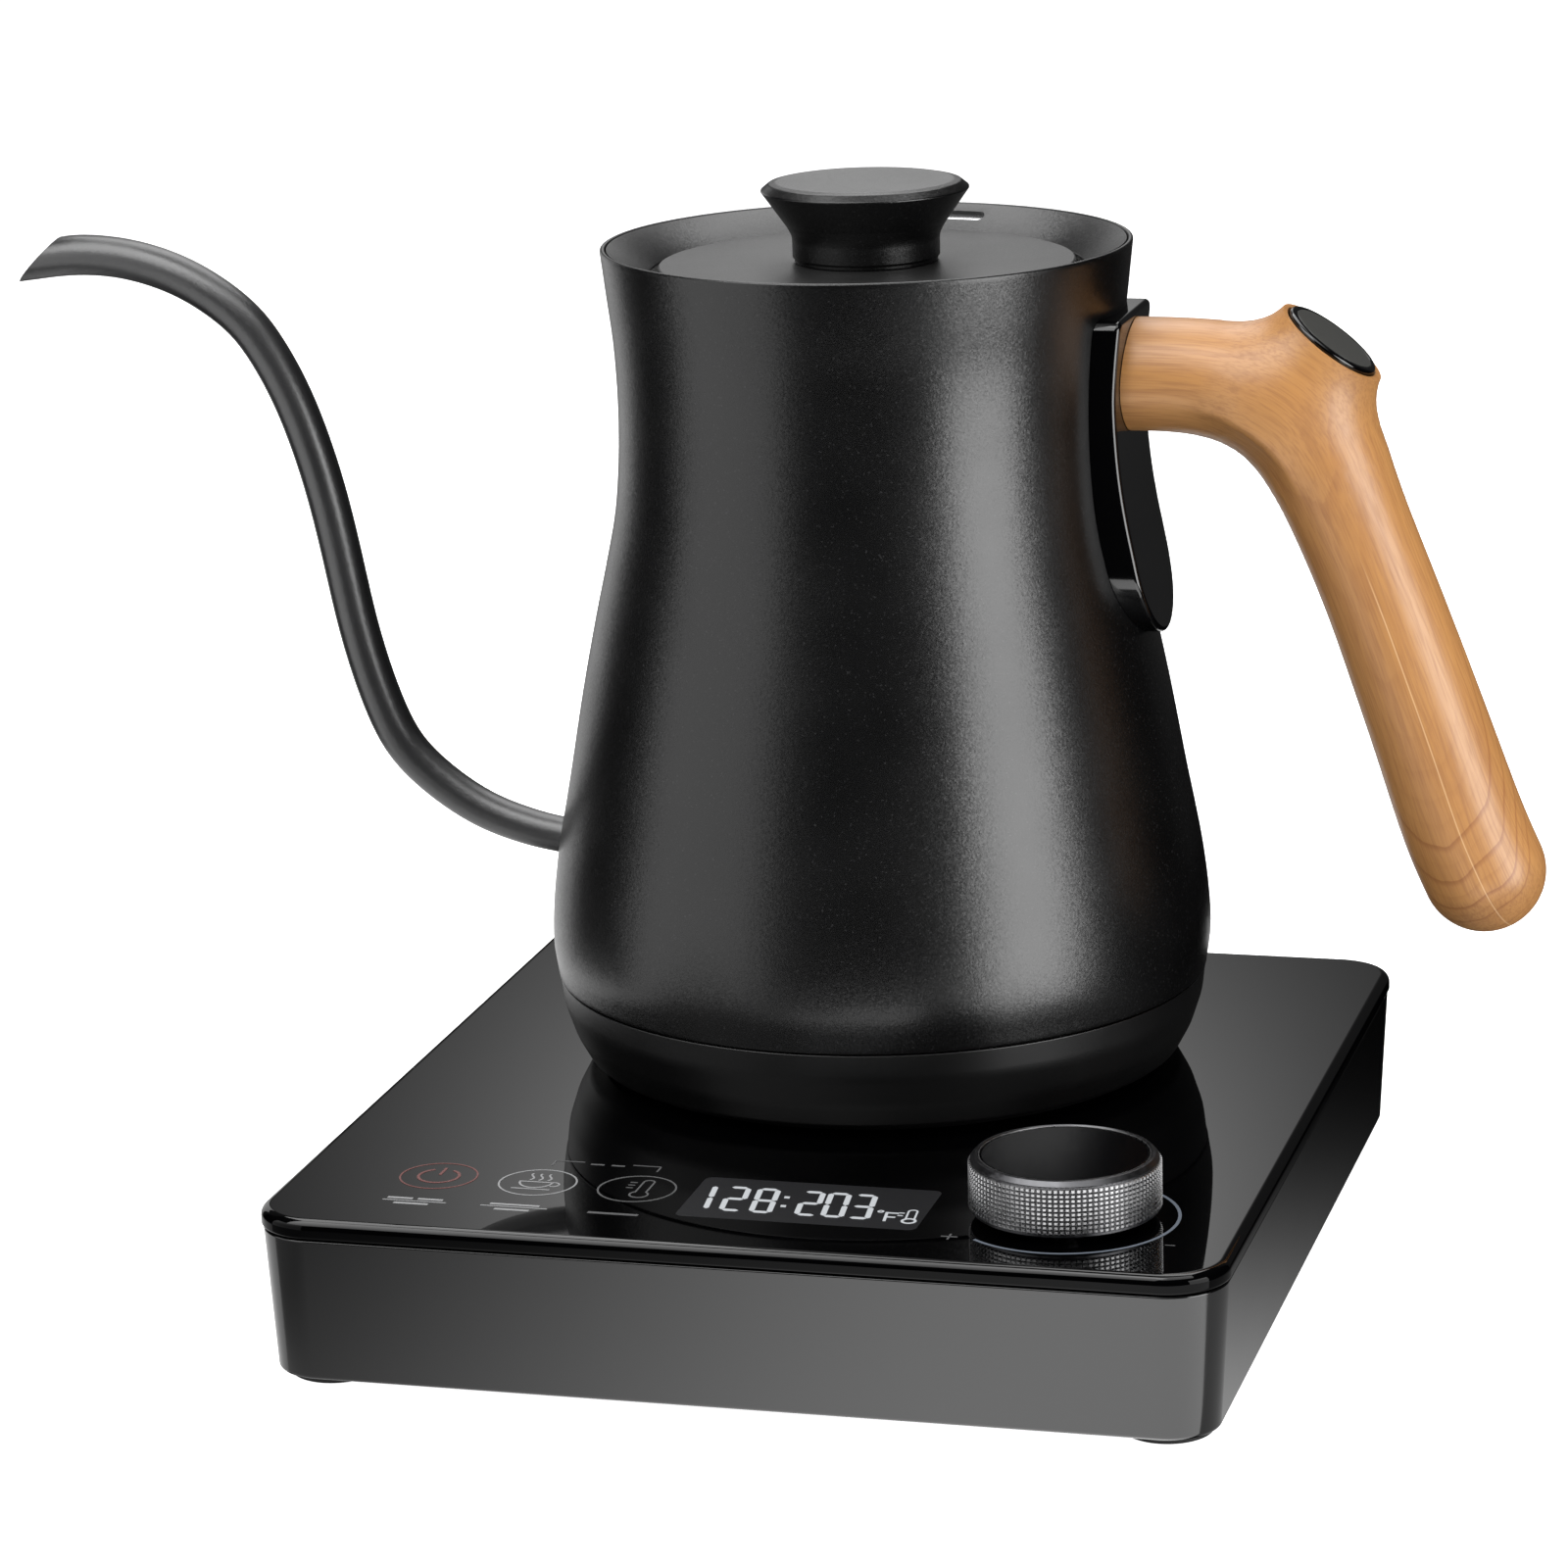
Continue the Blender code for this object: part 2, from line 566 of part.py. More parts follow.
def handle_bracket(frame):
    bm = bmesh.new()
    columns = 8
    arc = [BRACKET_LOW_Z + BRACKET_HALF_WIDTH * (1 - math.cos(math.radians(a))) for a in (14, 32, 50, 70, 90)]
    heights = arc + [arc[-1] + (BRACKET_HIGH_Z - arc[-1]) * i / 5 for i in range(1, 6)]
    front = []
    back = []
    for z in heights:
        half = bracket_width(z)
        ys = [half * (2 * i / columns - 1) for i in range(columns + 1)]
        front.append([bm.verts.new((value_at(BRACKET_FRONT, z), y, z)) for y in ys])
        radius = body_radius(z) + 2 * GAP
        back.append([bm.verts.new((math.sqrt(radius ** 2 - y ** 2), y, z)) for y in ys])
    for grid in (front, back):
        for low, high in zip(grid, grid[1:]):
            for i in range(columns):
                bm.faces.new((low[i], low[i + 1], high[i + 1], high[i]))
    for row in (0, -1):
        for i in range(columns):
            bm.faces.new((front[row][i], front[row][i + 1], back[row][i + 1], back[row][i]))
    for side in (0, -1):
        for i in range(len(heights) - 1):
            bm.faces.new((front[i][side], front[i + 1][side], back[i + 1][side], back[i][side]))
    bracket = add("handle_bracket", bm, "gloss_black", frame)
    inside = 0.044                         # the cutters start behind the bracket, within the body's wall
    bolt_hole = rod("bolt_hole_cutter", BOLT_HOLE, (inside, 0, ARM_Z), (0.058, 0, ARM_Z), "steel", frame, 20)
    head_pocket = rod("bolt_pocket_cutter", BOLT_HEAD_POCKET, (inside, 0, ARM_Z), (0.0506, 0, ARM_Z), "steel",
                      frame, 20)
    stud_pockets = [rod(f"stud_pocket_cutter_{i}", STUD_RADIUS + GAP, (inside, 0, z),
                        (body_radius(z) + 0.0028, 0, z), "steel", frame, 12)
                    for i, z in enumerate(STUD_HEIGHTS, 1)]
    return combine(bracket, [head_pocket, bolt_hole, *stud_pockets])


def handle_grip(frame):
    path = smooth_curve([(x, 0, z) for x, z, _ in GRIP_PATH], 2)
    radii = [p[0] for p in smooth_curve([(r, 0, 0) for _, _, r in GRIP_PATH], 2)]
    sides = 18
    tip = Vector((GRIP_PATH[-1][0], 0, GRIP_PATH[-1][1]))
    heading = (path[-1] - path[-2]).normalized()
    end_radius = radii[-1]
    for angle in (22, 42, 60, 76):
        turn = math.radians(angle)
        path.append(tip + heading * end_radius * math.sin(turn))
        radii.append(end_radius * math.cos(turn))
    bm, rings = swept_mesh(path, radii, sides, half_depth=GRIP_HALF_DEPTH)
    bm.faces.new(rings[0])
    pole = bm.verts.new(tip + heading * end_radius * 0.985)
    for k in range(sides):
        bm.faces.new((rings[-1][k], rings[-1][(k + 1) % sides], pole))
    grip = add("handle_grip", bm, "wood", frame)
    stub_start = CAP_CENTRE - CAP_NORMAL * 0.016
    stub = rod("elbow_stub", STUB_RADIUS, stub_start, CAP_CENTRE, "wood", frame, 24)
    above = CAP_CENTRE + CAP_NORMAL * 0.004
    pocket_floor = CAP_CENTRE - CAP_NORMAL * (CAP_DEPTH + GAP)
    pocket = rod("cap_pocket_cutter", CAP_RADIUS + GAP, pocket_floor, above, "wood", frame, 24)
    stem_floor = CAP_CENTRE - CAP_NORMAL * (CAP_STEM_DEPTH + 0.0005)
    stem_hole = rod("cap_stem_cutter", CAP_STEM_RADIUS + GAP, stem_floor, above, "wood", frame, 16)
    bolt_hole = rod("grip_bolt_cutter", BOLT_HOLE, (0.048, 0, ARM_Z), (0.0765, 0, ARM_Z), "steel", frame, 20)
    combine(grip, [stub], "UNION")
    return combine(grip, [pocket, stem_hole, bolt_hole])


def handle_cap(frame):
    proud = 0.0009
    edge = 0.0006
    outline = [(0, proud), (CAP_RADIUS - edge, proud), (CAP_RADIUS, proud - edge), (CAP_RADIUS, -CAP_DEPTH),
               (CAP_STEM_RADIUS, -CAP_DEPTH), (CAP_STEM_RADIUS, -CAP_STEM_DEPTH), (0, -CAP_STEM_DEPTH)]
    cap = turned("handle_cap", outline, "gloss_black", frame, CAP_CENTRE, 24)
    cap.rotation_euler = CAP_NORMAL.to_track_quat("Z", "Y").to_euler()
    return cap


def handle_fasteners(frame):
    bolt = turned("handle_bolt", screw_outline(0.0040, 0.0012, 0.0020, 0.0262), "steel", frame,
                  (body_radius(ARM_Z) + 2 * GAP + 0.0001, 0, ARM_Z), 14)
    bolt.rotation_euler = (0, math.pi / 2, 0)
    for i, z in enumerate(STUD_HEIGHTS, 1):
        start = body_radius(z - STUD_RADIUS) + GAP
        end = body_radius(z) + 0.0024
        rod(f"bracket_stud_{i}", STUD_RADIUS, (start, 0, z), (end, 0, z), "steel", frame, 12)


# ---- lid -------------------------------------------------------------------------------------------------
def lid(frame):
    chamfer = 0.0003
    plate_low = LID_TOP_Z - LID_THICKNESS
    plate = [(LID_SCREW_HOLE, LID_TOP_Z), (LID_RADIUS - chamfer, LID_TOP_Z),
             (LID_RADIUS, LID_TOP_Z - chamfer), (LID_RADIUS, plate_low), (LID_SCREW_HOLE, plate_low)]
    turned("lid_plate", plate, "black_coat", frame)
    turned("lid_cup", CUP_PROFILE, "steel", frame)
    turned("lid_seal", ring_outline(0.0378, 0.0404, 0.1529, 0.1543), "silicone", frame)
    low = LID_TOP_Z + GAP
    bore, bore_wall, bore_tip = KNOB_BORE
    knob = [(bore, low), (KNOB_PROFILE[0][0], low), *KNOB_PROFILE, (0.0184, KNOB_TOP_Z - 0.0001),
            (0.0176, KNOB_TOP_Z), (0, KNOB_TOP_Z), (0, bore_tip), (bore, bore_wall)]
    turned("lid_knob", knob, "black_coat", frame)
    turned("lid_screw", screw_outline(0.0036, 0.0014, 0.0015, 0.0205), "steel", frame, (0, 0, 0.1438), 16)


# ---- base ------------------------------------------------------------------------------------------------
def base_glass(frame):
    low = -GLASS_THICKNESS
    layers = ((0.0008, low), (0.0, low + 0.0010), (0.0, -0.0010), (0.0008, 0.0))
    glass = stacked("base_glass", layers, "glass", frame, (0, BASE_MIDDLE_Y, 0), (BASE_WIDTH, BASE_DEPTH),
                    BASE_CORNER, 4)
    holes = [turned("connector_hole_cutter", plain_disc(CONNECTOR_RADIUS + GAP, low - 0.002, 0.002), "steel",
                    frame),
             turned("dial_hole_cutter", plain_disc(SHAFT_RADIUS + 2 * SHAFT_CLEARANCE, low - 0.002, 0.002),
                    "steel", frame, (DIAL_X, DIAL_Y, 0), 20)]
    return combine(glass, holes)


def base_housing(frame):
    size = (BASE_WIDTH, BASE_DEPTH)
    middle = (0, BASE_MIDDLE_Y, 0)
    edge = 0.0005
    outer = ((HOUSING_DRAFT + edge, HOUSING_LOW), (HOUSING_DRAFT, HOUSING_LOW + edge),
             (HOUSING_TOP_INSET, DECK_TOP - edge), (HOUSING_TOP_INSET + edge, DECK_TOP))
    housing = stacked("base_housing", outer, "housing", frame, middle, size, BASE_CORNER, 4)
    low_wall = HOUSING_DRAFT + HOUSING_WALL
    hollow = ((low_wall, HOUSING_LOW - 0.004), (low_wall, HOUSING_LOW),
              (HOUSING_TOP_INSET + HOUSING_WALL, DECK_LOW))
    cavity = stacked("cavity_cutter", hollow, "housing", frame, middle, size, BASE_CORNER, 3)
    combine(housing, [cavity])
    rooted = DECK_LOW + 0.0010             # the posts start inside the deck
    posts = [turned(f"screw_post_{i}", plain_disc(0.0034, COVER_TOP + GAP, rooted), "housing", frame,
                    (x, y, 0), 10) for i, (x, y) in enumerate(SCREW_PLACES, 1)]
    posts += [turned(f"board_post_{i}", plain_disc(0.0020, BOARD_TOP + GAP, rooted), "housing", frame,
                     (x, y, 0), 8) for i, (x, y) in enumerate(BOARD_POSTS, 1)]
    combine(housing, posts, "UNION")
    pilot = plain_disc(0.0017, COVER_TOP - 0.002, COVER_TOP + 0.0095)
    cutters = [turned(f"post_pilot_cutter_{i}", pilot, "steel", frame, (x, y, 0), 10)
               for i, (x, y) in enumerate(SCREW_PLACES, 1)]
    deck = (DECK_LOW - 0.002, 0.0)
    cutters.append(turned("deck_connector_cutter", plain_disc(CONNECTOR_RADIUS + GAP, *deck), "steel", frame))
    cutters.append(turned("deck_dial_cutter", plain_disc(LIGHT_RING[1] + 0.0005, *deck), "steel", frame,
                          (DIAL_X, DIAL_Y, 0)))
    window = (DISPLAY_SIZE[0] + 4 * GAP, DISPLAY_SIZE[1] + 4 * GAP, 0.008)
    cutters.append(block("deck_display_cutter", window, (*DISPLAY_PLACE, DECK_TOP), "steel", frame))
    x, y, z = GLAND_PLACE
    cutters.append(rod("gland_hole_cutter", 0.0048, (x, y - 0.006, z), (x, y + 0.006, z), "steel", frame))
    return combine(housing, cutters)


def base_bottom(frame):
    inset = HOUSING_DRAFT + HOUSING_WALL + GAP
    layers = ((inset, HOUSING_LOW + 0.0002), (inset, COVER_TOP))
    cover = stacked("base_bottom", layers, "black_plastic", frame, (0, BASE_MIDDLE_Y, 0),
                    (BASE_WIDTH, BASE_DEPTH), BASE_CORNER, 4)
    low = HOUSING_LOW
    stepped = [(0, COVER_TOP + 0.002), (0.0018, COVER_TOP + 0.002), (0.0018, low + 0.0014),
               (0.0034, low + 0.0014), (0.0034, low - 0.002), (0, low - 0.002)]
    return combine(cover, [turned(f"cover_hole_cutter_{i}", stepped, "steel", frame, (x, y, 0), 14)
                           for i, (x, y) in enumerate(SCREW_PLACES, 1)])


def base_fixings(frame):
    for i, (x, y) in enumerate(SCREW_PLACES, 1):
        turned(f"base_screw_{i}", screw_outline(0.0030, 0.0009, 0.0014, 0.0090), "steel", frame,
               (x, y, HOUSING_LOW + 0.0002), 10)
    top = FOOT_HEIGHT - 0.0001             # the bottom cover sits 0.2 mm up inside the housing
    edge = 0.0006
    foot = [(0, top), (FOOT_RADIUS, top), (FOOT_RADIUS, edge), (FOOT_RADIUS - edge, 0), (0, 0)]
    for i, (x, y) in enumerate(FOOT_PLACES, 1):
        turned(f"base_foot_{i}", foot, "rubber", frame, (x, y, -GLASS_TOP), 16)


def base_connector(frame):
    return turned("base_connector", BASE_CONNECTOR_PROFILE, "black_plastic", frame)


def glide_ring(frame):
    return turned("glide_ring", ring_outline(0.0172, 0.0211, GAP, 0.0013), "nylon", frame)


def control_electronics(frame):
    low = BOARD_TOP + GAP
    top = DECK_TOP - 0.0002
    block("control_board", (0.150, 0.040, BOARD_THICKNESS), (0, -0.0950, BOARD_TOP - BOARD_THICKNESS / 2),
          "circuit_board", frame)
    block("display_module", (*DISPLAY_SIZE, top - low), (*DISPLAY_PLACE, (top + low) / 2), "display", frame)
    for name, (x, y) in TOUCH_PLACES.items():
        turned(f"touch_pad_{name}", plain_disc(0.0055, low, DECK_LOW - GAP), "rubber", frame, (x, y, 0), 14)
    turned("dial_light_ring", ring_outline(*LIGHT_RING, low, top), "light_guide", frame, (DIAL_X, DIAL_Y, 0))
    buzzer = chamfered_disc(0.0058, low, low + 0.0040, 0.0004)
    turned("buzzer", buzzer, "black_plastic", frame, (-0.0530, -0.0795, 0), 20)
    body_top = DECK_LOW - 0.0005
    encoder = block("encoder_body", (0.0125, 0.0125, body_top - low), (DIAL_X, DIAL_Y, (body_top + low) / 2),
                    "steel", frame)
    bore = turned("encoder_bore_cutter", plain_disc(SHAFT_RADIUS + SHAFT_CLEARANCE, low + 0.0008, 0.0),
                  "steel", frame, (DIAL_X, DIAL_Y, 0), 20)
    combine(encoder, [bore])


def power_electronics(frame):
    floor = COVER_TOP + GAP
    top = floor + BOARD_THICKNESS
    mounted = top + GAP

    def on_board(name, size, x, y, finish):
        block(name, size, (x, y, mounted + size[2] / 2), finish, frame)

    block("power_board", (0.070, 0.045, BOARD_THICKNESS), (-0.040, 0.045, (floor + top) / 2),
          "circuit_board", frame)
    on_board("relay", (0.0190, 0.0155, 0.0140), -0.0540, 0.0400, "blue_plastic")
    on_board("transformer", (0.0150, 0.0130, 0.0120), -0.0220, 0.0350, "gloss_black")
    on_board("terminal_block", (0.0120, 0.0080, 0.0095), -0.0560, 0.0600, "black_plastic")
    can_radius = 0.0050
    can_z = mounted + can_radius + 0.0001
    rod("capacitor", can_radius, (-0.0360, 0.0550, can_z), (-0.0200, 0.0550, can_z), "aluminium", frame, 20)
    gland = turned("cord_gland", GLAND_PROFILE, "rubber", frame, GLAND_PLACE, 16)
    gland.rotation_euler = (-math.pi / 2, 0, 0)


def dial(frame):
    """The rotary knob of the base, hung from an empty on its turning axis."""
    top = DIAL_TOP_Z
    foot_edge = 0.0004
    ring = [(DIAL_BORE, DIAL_FOOT_Z), (DIAL_RADIUS - foot_edge, DIAL_FOOT_Z),
            (DIAL_RADIUS, DIAL_FOOT_Z + foot_edge), (DIAL_RADIUS, top - DIAL_CHAMFER),
            (DIAL_RADIUS - DIAL_CHAMFER, top), (DIAL_BORE, top)]
    turned("dial_ring", ring, "knurled", frame)
    cap_low = top - 0.0011
    turned("dial_cap", plain_disc(DIAL_CAP_RADIUS, cap_low, top - 0.0002), "gloss_black", frame)
    core_top = cap_low - GAP
    core_low = DIAL_FOOT_Z + 0.0002
    shaft_top = 0.0091
    bore = SHAFT_RADIUS + SHAFT_CLEARANCE
    core = [(0, core_top), (DIAL_CAP_RADIUS, core_top), (DIAL_CAP_RADIUS, core_low), (bore, core_low),
            (bore, shaft_top + GAP), (0, shaft_top + GAP)]
    turned("dial_core", core, "black_plastic", frame)
    shaft_low = BOARD_TOP + GAP + 0.0011
    shaft = chamfered_disc(SHAFT_RADIUS, shaft_low, shaft_top, 0.0004)
    turned("encoder_shaft", shaft, "steel", frame, sides=20)


# ---- assembly --------------------------------------------------------------------------------------------
def build():
    clear_scene()
    base_frame = empty("base_frame", (AXIS_X, AXIS_Y, GLASS_TOP))
    kettle_frame = empty("kettle_frame", (0, 0, 0), base_frame)
    lid_frame = empty("lid_frame", (0, 0, 0), kettle_frame)
    dial_frame = empty("dial_frame", (DIAL_X, DIAL_Y, 0), base_frame)
    base_glass(base_frame)
    base_housing(base_frame)
    base_bottom(base_frame)
    base_fixings(base_frame)
    base_connector(base_frame)
    control_electronics(base_frame)
    power_electronics(base_frame)
    dial(dial_frame)
    glide_ring(kettle_frame)
    kettle_shell(kettle_frame)
    rim_collar(kettle_frame)
    spout_tube(kettle_frame)
    base_skirt(kettle_frame)
    kettle_insides(kettle_frame)
    handle_bracket(kettle_frame)
    handle_grip(kettle_frame)
    handle_cap(kettle_frame)
    handle_fasteners(kettle_frame)
    lid(lid_frame)


build()
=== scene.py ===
"""Looks of the gooseneck kettle on its glass-topped base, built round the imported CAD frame. Metres, +Z up.

Kettle and base pieces are modelled about the kettle's own axis with z = 0 on the glass, as the CAD parts are.
"""

import math

import bmesh
import bpy
import numpy as np
from mathutils import Matrix, Vector


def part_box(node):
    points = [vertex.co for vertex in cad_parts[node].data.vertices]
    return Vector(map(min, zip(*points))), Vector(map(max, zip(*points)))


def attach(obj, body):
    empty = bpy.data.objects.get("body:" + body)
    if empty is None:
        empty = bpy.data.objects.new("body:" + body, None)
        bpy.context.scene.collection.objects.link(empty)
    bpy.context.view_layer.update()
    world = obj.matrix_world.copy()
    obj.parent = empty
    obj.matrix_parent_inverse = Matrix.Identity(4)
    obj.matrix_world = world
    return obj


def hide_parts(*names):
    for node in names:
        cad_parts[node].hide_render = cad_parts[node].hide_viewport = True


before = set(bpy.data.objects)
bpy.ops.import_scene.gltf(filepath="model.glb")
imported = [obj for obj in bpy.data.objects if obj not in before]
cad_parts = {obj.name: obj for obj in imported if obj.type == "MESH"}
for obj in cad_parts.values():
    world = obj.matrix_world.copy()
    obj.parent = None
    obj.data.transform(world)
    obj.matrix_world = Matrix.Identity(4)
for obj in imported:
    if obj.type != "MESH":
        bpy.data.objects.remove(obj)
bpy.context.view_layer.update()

# ---- places, from the frame --------------------------------------------------------------------------------


def middle(node):
    low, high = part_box(node)
    return (low + high) / 2


GLASS_LOW, GLASS_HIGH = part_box("base_glass")
KETTLE = Vector((middle("glide_ring").x, middle("glide_ring").y, GLASS_HIGH.z))
DIAL = Vector((middle("dial_ring").x, middle("dial_ring").y, GLASS_HIGH.z))
BASE_WIDTH = GLASS_HIGH.x - GLASS_LOW.x
BASE_DEPTH = GLASS_HIGH.y - GLASS_LOW.y
BASE_MIDDLE_Y = (GLASS_HIGH.y + GLASS_LOW.y) / 2 - KETTLE.y
GLASS_THICKNESS = GLASS_HIGH.z - GLASS_LOW.z
RIM_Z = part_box("kettle_shell")[1].z - KETTLE.z
KNOB_TOP_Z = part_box("lid_knob")[1].z - KETTLE.z
LID_TOP_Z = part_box("lid_plate")[1].z - KETTLE.z
LID_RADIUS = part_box("lid_plate")[1].x - KETTLE.x
DIAL_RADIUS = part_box("dial_ring")[1].x - DIAL.x
DIAL_FOOT_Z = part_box("dial_ring")[0].z - DIAL.z
DIAL_TOP_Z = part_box("dial_ring")[1].z - DIAL.z
HOUSING_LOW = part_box("base_housing")[0].z - KETTLE.z
HOUSING_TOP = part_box("base_housing")[1].z - KETTLE.z

TOUCH = 0.0001               # space left between two touching pieces
SHELL_WALL = 0.0010
BASE_CORNER = 0.0115

# ---- shapes that the CAD part has too ----------------------------------------------------------------------
BODY_PROFILE = (             # (height, radius) of the steel body
    (0.0184, 0.0637), (0.0262, 0.0646), (0.040, 0.0634), (0.058, 0.0601), (0.075, 0.0570), (0.089, 0.0541),
    (0.100, 0.0516), (0.110, 0.0496), (0.121, 0.0486), (0.132, 0.0484), (0.143, 0.0489), (0.152, 0.0499),
    (0.161, 0.0509),
)
SPOUT_PATH = (               # (x, z, outer radius), from inside the body to the beak
    (-0.0605, 0.0403, 0.0036), (-0.0660, 0.0410, 0.0036), (-0.0725, 0.0423, 0.0037),
    (-0.0830, 0.0460, 0.0038), (-0.0943, 0.0542, 0.0039), (-0.1005, 0.0631, 0.0040),
    (-0.1059, 0.0800, 0.0040), (-0.1090, 0.0963, 0.0040), (-0.1123, 0.1117, 0.0040),
    (-0.1172, 0.1268, 0.0040), (-0.1229, 0.1378, 0.0040), (-0.1287, 0.1449, 0.0040),
    (-0.1391, 0.1516, 0.0040), (-0.1507, 0.1552, 0.0040), (-0.1610, 0.1559, 0.0040),
    (-0.1697, 0.1549, 0.0039),
)
SPOUT_WALL = 0.0008
BEAK_SLANT = 1.30
LEAN_REACH = 0.016           # length over which the spout's rings lean into the slanted end
GRIP_PATH = (                # (x, z, radius), from the bracket, round the elbow, to the grip's end
    (0.0500, 0.1364, 0.0108), (0.0600, 0.1364, 0.0108), (0.0685, 0.1356, 0.0112), (0.0766, 0.1334, 0.0121),
    (0.0837, 0.1287, 0.0127), (0.0884, 0.1207, 0.0119), (0.0922, 0.1116, 0.0110), (0.0985, 0.0963, 0.0108),
    (0.1040, 0.0813, 0.0111), (0.1094, 0.0662, 0.0114), (0.1146, 0.0510, 0.0118), (0.1186, 0.0420, 0.0118),
)
GRIP_HALF_DEPTH = 0.0118
BRACKET_FRONT = (            # (height, x) of the bracket's front face
    (0.0850, 0.0584), (0.0920, 0.0570), (0.0980, 0.0557), (0.1040, 0.0545), (0.1100, 0.0533),
    (0.1170, 0.0522), (0.1240, 0.0515), (0.1330, 0.0511), (0.1400, 0.0515), (0.1488, 0.0524),
)
BRACKET_HALF_WIDTH = 0.0148
BRACKET_LOW_Z = 0.0868
BRACKET_HIGH_Z = 0.1486
ARM_Z = 0.1364
CAP_CENTRE = Vector((0.0895, 0.0, 0.1432))
CAP_NORMAL = Vector((0.605, 0.0, 0.796)).normalized()
CAP_RADIUS = 0.0098
CAP_SIDES = 96
DIAL_SIDES = 128
STUB_RADIUS = 0.0110
BOLT_HOLE = 0.0024           # radius
BOLT_HEAD_POCKET = 0.0044    # radius
CONNECTOR_HOLE = 0.0170      # radius, through the glass and the deck
SHAFT_HOLE = 0.0036          # radius, through the glass
LIGHT_RING_HOLE = 0.0226     # radius, through the deck
GLAND_HOLE = 0.0048          # radius, through the back
CUT_PAST = 0.002             # how far a cutter stands out past the piece
DISPLAY_HOLE = (0.0466, 0.0262)          # through the deck
LEAST_CORNER = 0.0004        # radius that a rounded box keeps, however far it is inset
ROUND = 192                  # sides of the large turned pieces


# ---- curves ------------------------------------------------------------------------------------------------
def smooth_curve(points, steps):
    """Points along a Catmull-Rom curve that passes through every given point."""
    given = [Vector(p) for p in points]
    padded = [given[0] * 2 - given[1], *given, given[-1] * 2 - given[-2]]
    out = []
    for i in range(1, len(padded) - 2):
        a, b, c, d = padded[i - 1:i + 3]
        for step in range(steps):
            t = step / steps
            out.append(0.5 * ((2 * b) + (c - a) * t + (2 * a - 5 * b + 4 * c - d) * t ** 2
                              + (3 * b - a - 3 * c + d) * t ** 3))
    out.append(given[-1])
    return out


def eased(points, rounds):
    """The same run of points with its small kinks averaged away; the ends stay."""
    for _ in range(rounds):
        inner = [(a + 2 * b + c) / 4 for a, b, c in zip(points, points[1:], points[2:])]
        points = [points[0], *inner, points[-1]]
    return points


def value_at(table, key):
    """Smooth value read from rising (key, value) pairs."""
    i = 1
    while i < len(table) - 1 and key > table[i][0]:
        i += 1
    before = table[max(i - 2, 0)]
    low, high = table[i - 1], table[i]
    after = table[min(i + 1, len(table) - 1)]
    span = high[0] - low[0]
    t = min(max((key - low[0]) / span, 0.0), 1.0)
    slope_low = (high[1] - before[1]) / (high[0] - before[0]) * span
    slope_high = (after[1] - low[1]) / (after[0] - low[0]) * span
    return ((2 * t ** 3 - 3 * t ** 2 + 1) * low[1] + (t ** 3 - 2 * t ** 2 + t) * slope_low
            + (3 * t ** 2 - 2 * t ** 3) * high[1] + (t ** 3 - t ** 2) * slope_high)


def body_radius(z):
    return value_at(BODY_PROFILE, z)


def filleted(corners, steps=5):
    """A closed outline of (x, z, fillet radius) corners, with an arc at each corner that has a radius."""
    out = []
    for i, (x, z, radius) in enumerate(corners):
        here = Vector((x, z))
        if radius == 0:
            out.append((x, z))
            continue
        towards = (Vector(corners[i - 1][:2]) - here).normalized()
        away = (Vector(corners[(i + 1) % len(corners)][:2]) - here).normalized()
        half = towards.angle(away) / 2
        centre = here + (towards + away).normalized() * radius / math.sin(half)
        first = here + towards * radius / math.tan(half) - centre
        last = here + away * radius / math.tan(half) - centre
        sweep = first.angle(last)
        for step in range(steps + 1):
            t = step / steps
            arm = (first * math.sin((1 - t) * sweep) + last * math.sin(t * sweep)) / math.sin(sweep)
            out.append(tuple(centre + arm))
    return out


# ---- finishes ----------------------------------------------------------------------------------------------
def tinted(colour, factor):
    return tuple(min(channel * factor, 1.0) for channel in colour)


class NodeTree:
    """A new material's node tree, with short calls for the nodes that several materials use."""

    def __init__(self, name):
        self.material = bpy.data.materials.new(name)
        self.material.use_nodes = True
        self.nodes = self.material.node_tree.nodes
        self.links = self.material.node_tree.links

    def join(self, value, socket):
        """Give a socket a value, or link it to another node's output."""
        if isinstance(value, bpy.types.NodeSocket):
            self.links.new(value, socket)
        else:
            socket.default_value = value

    def node(self, kind, inputs=(), **settings):
        made = self.nodes.new(kind)
        for key, value in settings.items():
            setattr(made, key, value)
        for key, value in dict(inputs).items():
            self.join(value, made.inputs[key])
        return made

    def place(self):
        return self.node("ShaderNodeTexCoord").outputs["Object"]

    def split(self, vector):
        return self.node("ShaderNodeSeparateXYZ", {0: vector}).outputs

    def math(self, operation, *values):
        return self.node("ShaderNodeMath", dict(enumerate(values)), operation=operation).outputs[0]

    def times(self, a, b):
        return self.math("MULTIPLY", a, b)

    def plus(self, a, b):
        return self.math("ADD", a, b)

    def minus(self, a, b):
        return self.math("SUBTRACT", a, b)

    def vector(self, operation, *values):
        return self.node("ShaderNodeVectorMath", dict(enumerate(values)), operation=operation).outputs[0]

    def band(self, value, low, high, low_to=0.0, high_to=1.0):
        """Map a value softly from low..high to low_to..high_to, clamped."""
        inputs = {"Value": value, "From Min": low, "From Max": high, "To Min": low_to, "To Max": high_to}
        return self.node("ShaderNodeMapRange", inputs, interpolation_type="SMOOTHSTEP").outputs[0]


